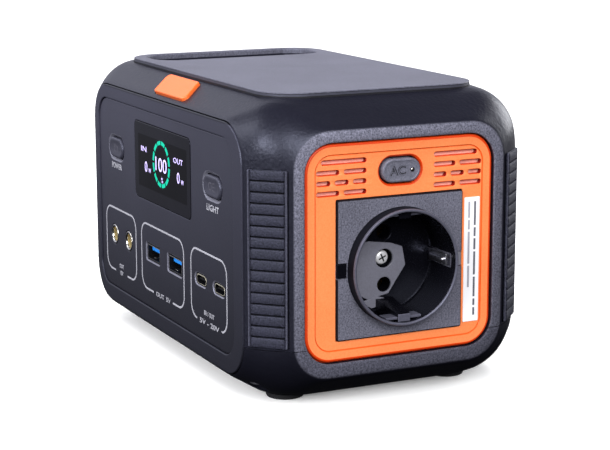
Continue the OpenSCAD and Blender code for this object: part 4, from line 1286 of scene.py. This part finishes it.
# ------------------------------------------------------------------ feet
b = Build(TOP)
for x, y in ((61.5, 33), (61.5, -33), (-66, 33), (-66, -33)):
    b.lathe([(0, 0.25), (2.0, 0.2), (2.6, 0.0), (5.9, 0.0), (6.6, 0.25), (6.9, 0.8), (7.0, 2.0), (2.5, 2.02), (2.5, 4.6), (0, 4.6)], x, y, 40)
piece("rubber_feet", b, ["foot"], replaces=["feet"], fix=True)

# ------------------------------------------------------------------ camera
AZ, EL, ROLL = math.radians(64.357), math.radians(11.397), math.radians(-0.097)
back = Vector((math.sin(AZ) * math.cos(EL), -math.cos(AZ) * math.cos(EL), math.sin(EL)))
right = (-back).cross(Vector((0, 0, 1))).normalized()
up = right.cross(-back).normalized()
c, s = math.cos(ROLL), math.sin(ROLL)
right, up = right * c + up * s, up * c - right * s
cam = bpy.data.objects.new("camera", bpy.data.cameras.new("camera"))
cam.matrix_world = Matrix(((right.x, up.x, back.x, 0.60718), (right.y, up.y, back.y, -0.28688),
                           (right.z, up.z, back.z, 0.18346), (0, 0, 0, 1)))
cam.data.sensor_width, cam.data.lens = 36, 103.05
cam.data.clip_start, cam.data.clip_end = 0.01, 100
scene.collection.objects.link(cam)
scene.camera = cam

# ------------------------------------------------------------------ floor, world and lights
me = bpy.data.meshes.new("floor")
me.from_pydata([(-9, -9, 0), (9, -9, 0), (9, 9, 0), (-9, 9, 0)], [], [(0, 1, 2, 3)])
floor = bpy.data.objects.new("floor", me)
scene.collection.objects.link(floor)
m = bpy.data.materials.new("floor")
m.use_nodes = True
t = Nt(m)
out = t.n("OutputMaterial")
bs = t.n("BsdfDiffuse")
bs.inputs["Color"].default_value = (0.93, 0.93, 0.935, 1)
glow = t.n("Emission")
glow.inputs["Strength"].default_value = 0.16
both = t.n("AddShader")
t.l(bs.outputs[0], both.inputs[0])
t.l(glow.outputs[0], both.inputs[1])
t.l(both.outputs[0], out.inputs[0])
me.materials.append(m)
floor.visible_glossy = False
floor.visible_diffuse = False

world = bpy.data.worlds.new("studio")
scene.world = world
world.use_nodes = True
t = Nt(world)
wo = t.n("OutputWorld")
co = t.n("TexCoord").outputs["Generated"]
x, y, z = t.xyz(co)
height = t.n("ValToRGB")
t.l(t.ramp(z, -1, 1), height.inputs[0])
er = height.color_ramp
er.elements[0].position, er.elements[0].color = 0.0, (0.02, 0.02, 0.022, 1)
er.elements[1].position, er.elements[1].color = 1.0, (0.07, 0.07, 0.078, 1)
for p, v in ((0.34, 0.02), (0.45, 0.3), (0.58, 0.9), (0.74, 1.3), (0.82, 0.12)):
    e = er.elements.new(p)
    e.color = (v * 0.95, v * 0.96, v * 1.1, 1)
left = t.ramp(x, -0.85, -0.1, 1.0, 0.1, True)
bright = t.math("MULTIPLY", left, 1.0)
col = t.mix(1.0, height.outputs[0], bright, "MULTIPLY")
bg = t.n("Background")
t.l(col, bg.inputs[0])
bg.inputs[1].default_value = 1.0
bg2 = t.n("Background")
bg2.inputs[0].default_value = (1, 1, 1, 1)
lp = t.n("LightPath")
mx = t.n("MixShader")
t.l(lp.outputs["Is Camera Ray"], mx.inputs[0])
t.l(bg.outputs[0], mx.inputs[1])
t.l(bg2.outputs[0], mx.inputs[2])
t.l(mx.outputs[0], wo.inputs[0])


def soft(name, loc, aim, size, power, spec=1.0, size_y=None):
    d = bpy.data.lights.new(name, "AREA")
    d.energy, d.size = power, size
    if size_y:
        d.shape, d.size_y = "RECTANGLE", size_y
    d.specular_factor = spec
    o = bpy.data.objects.new(name, d)
    o.location = loc
    o.rotation_mode = "QUATERNION"
    o.rotation_quaternion = (Vector(aim) - Vector(loc)).to_track_quat("-Z", "Y")
    scene.collection.objects.link(o)
    return o


sun = bpy.data.lights.new("overhead", "SUN")
sun.energy, sun.angle = 3.3, math.radians(70)
so = bpy.data.objects.new("overhead", sun)
so.rotation_euler = (math.radians(4), math.radians(-5), 0)
so.visible_glossy = False
scene.collection.objects.link(so)
soft("face_light", (1.3, -0.25, 0.75), (0.08, 0, 0.05), 0.9, 26, 0.5)
soft("front_light", (-0.55, -1.2, 1.0), (0, -0.05, 0.08), 0.8, 9, 0.6)
soft("corner_light", (0.46, -1.0, 0.46), (0.05, 0, 0.06), 0.45, 12, 1.0)
soft("rim_light", (-0.3, 1.3, 0.45), (0.05, 0.03, 0.06), 0.7, 11, 1.0)

scene.view_settings.view_transform = "Standard"
scene.view_settings.look = "None"
scene.view_settings.exposure = 0.0
scene.view_settings.gamma = 1.0
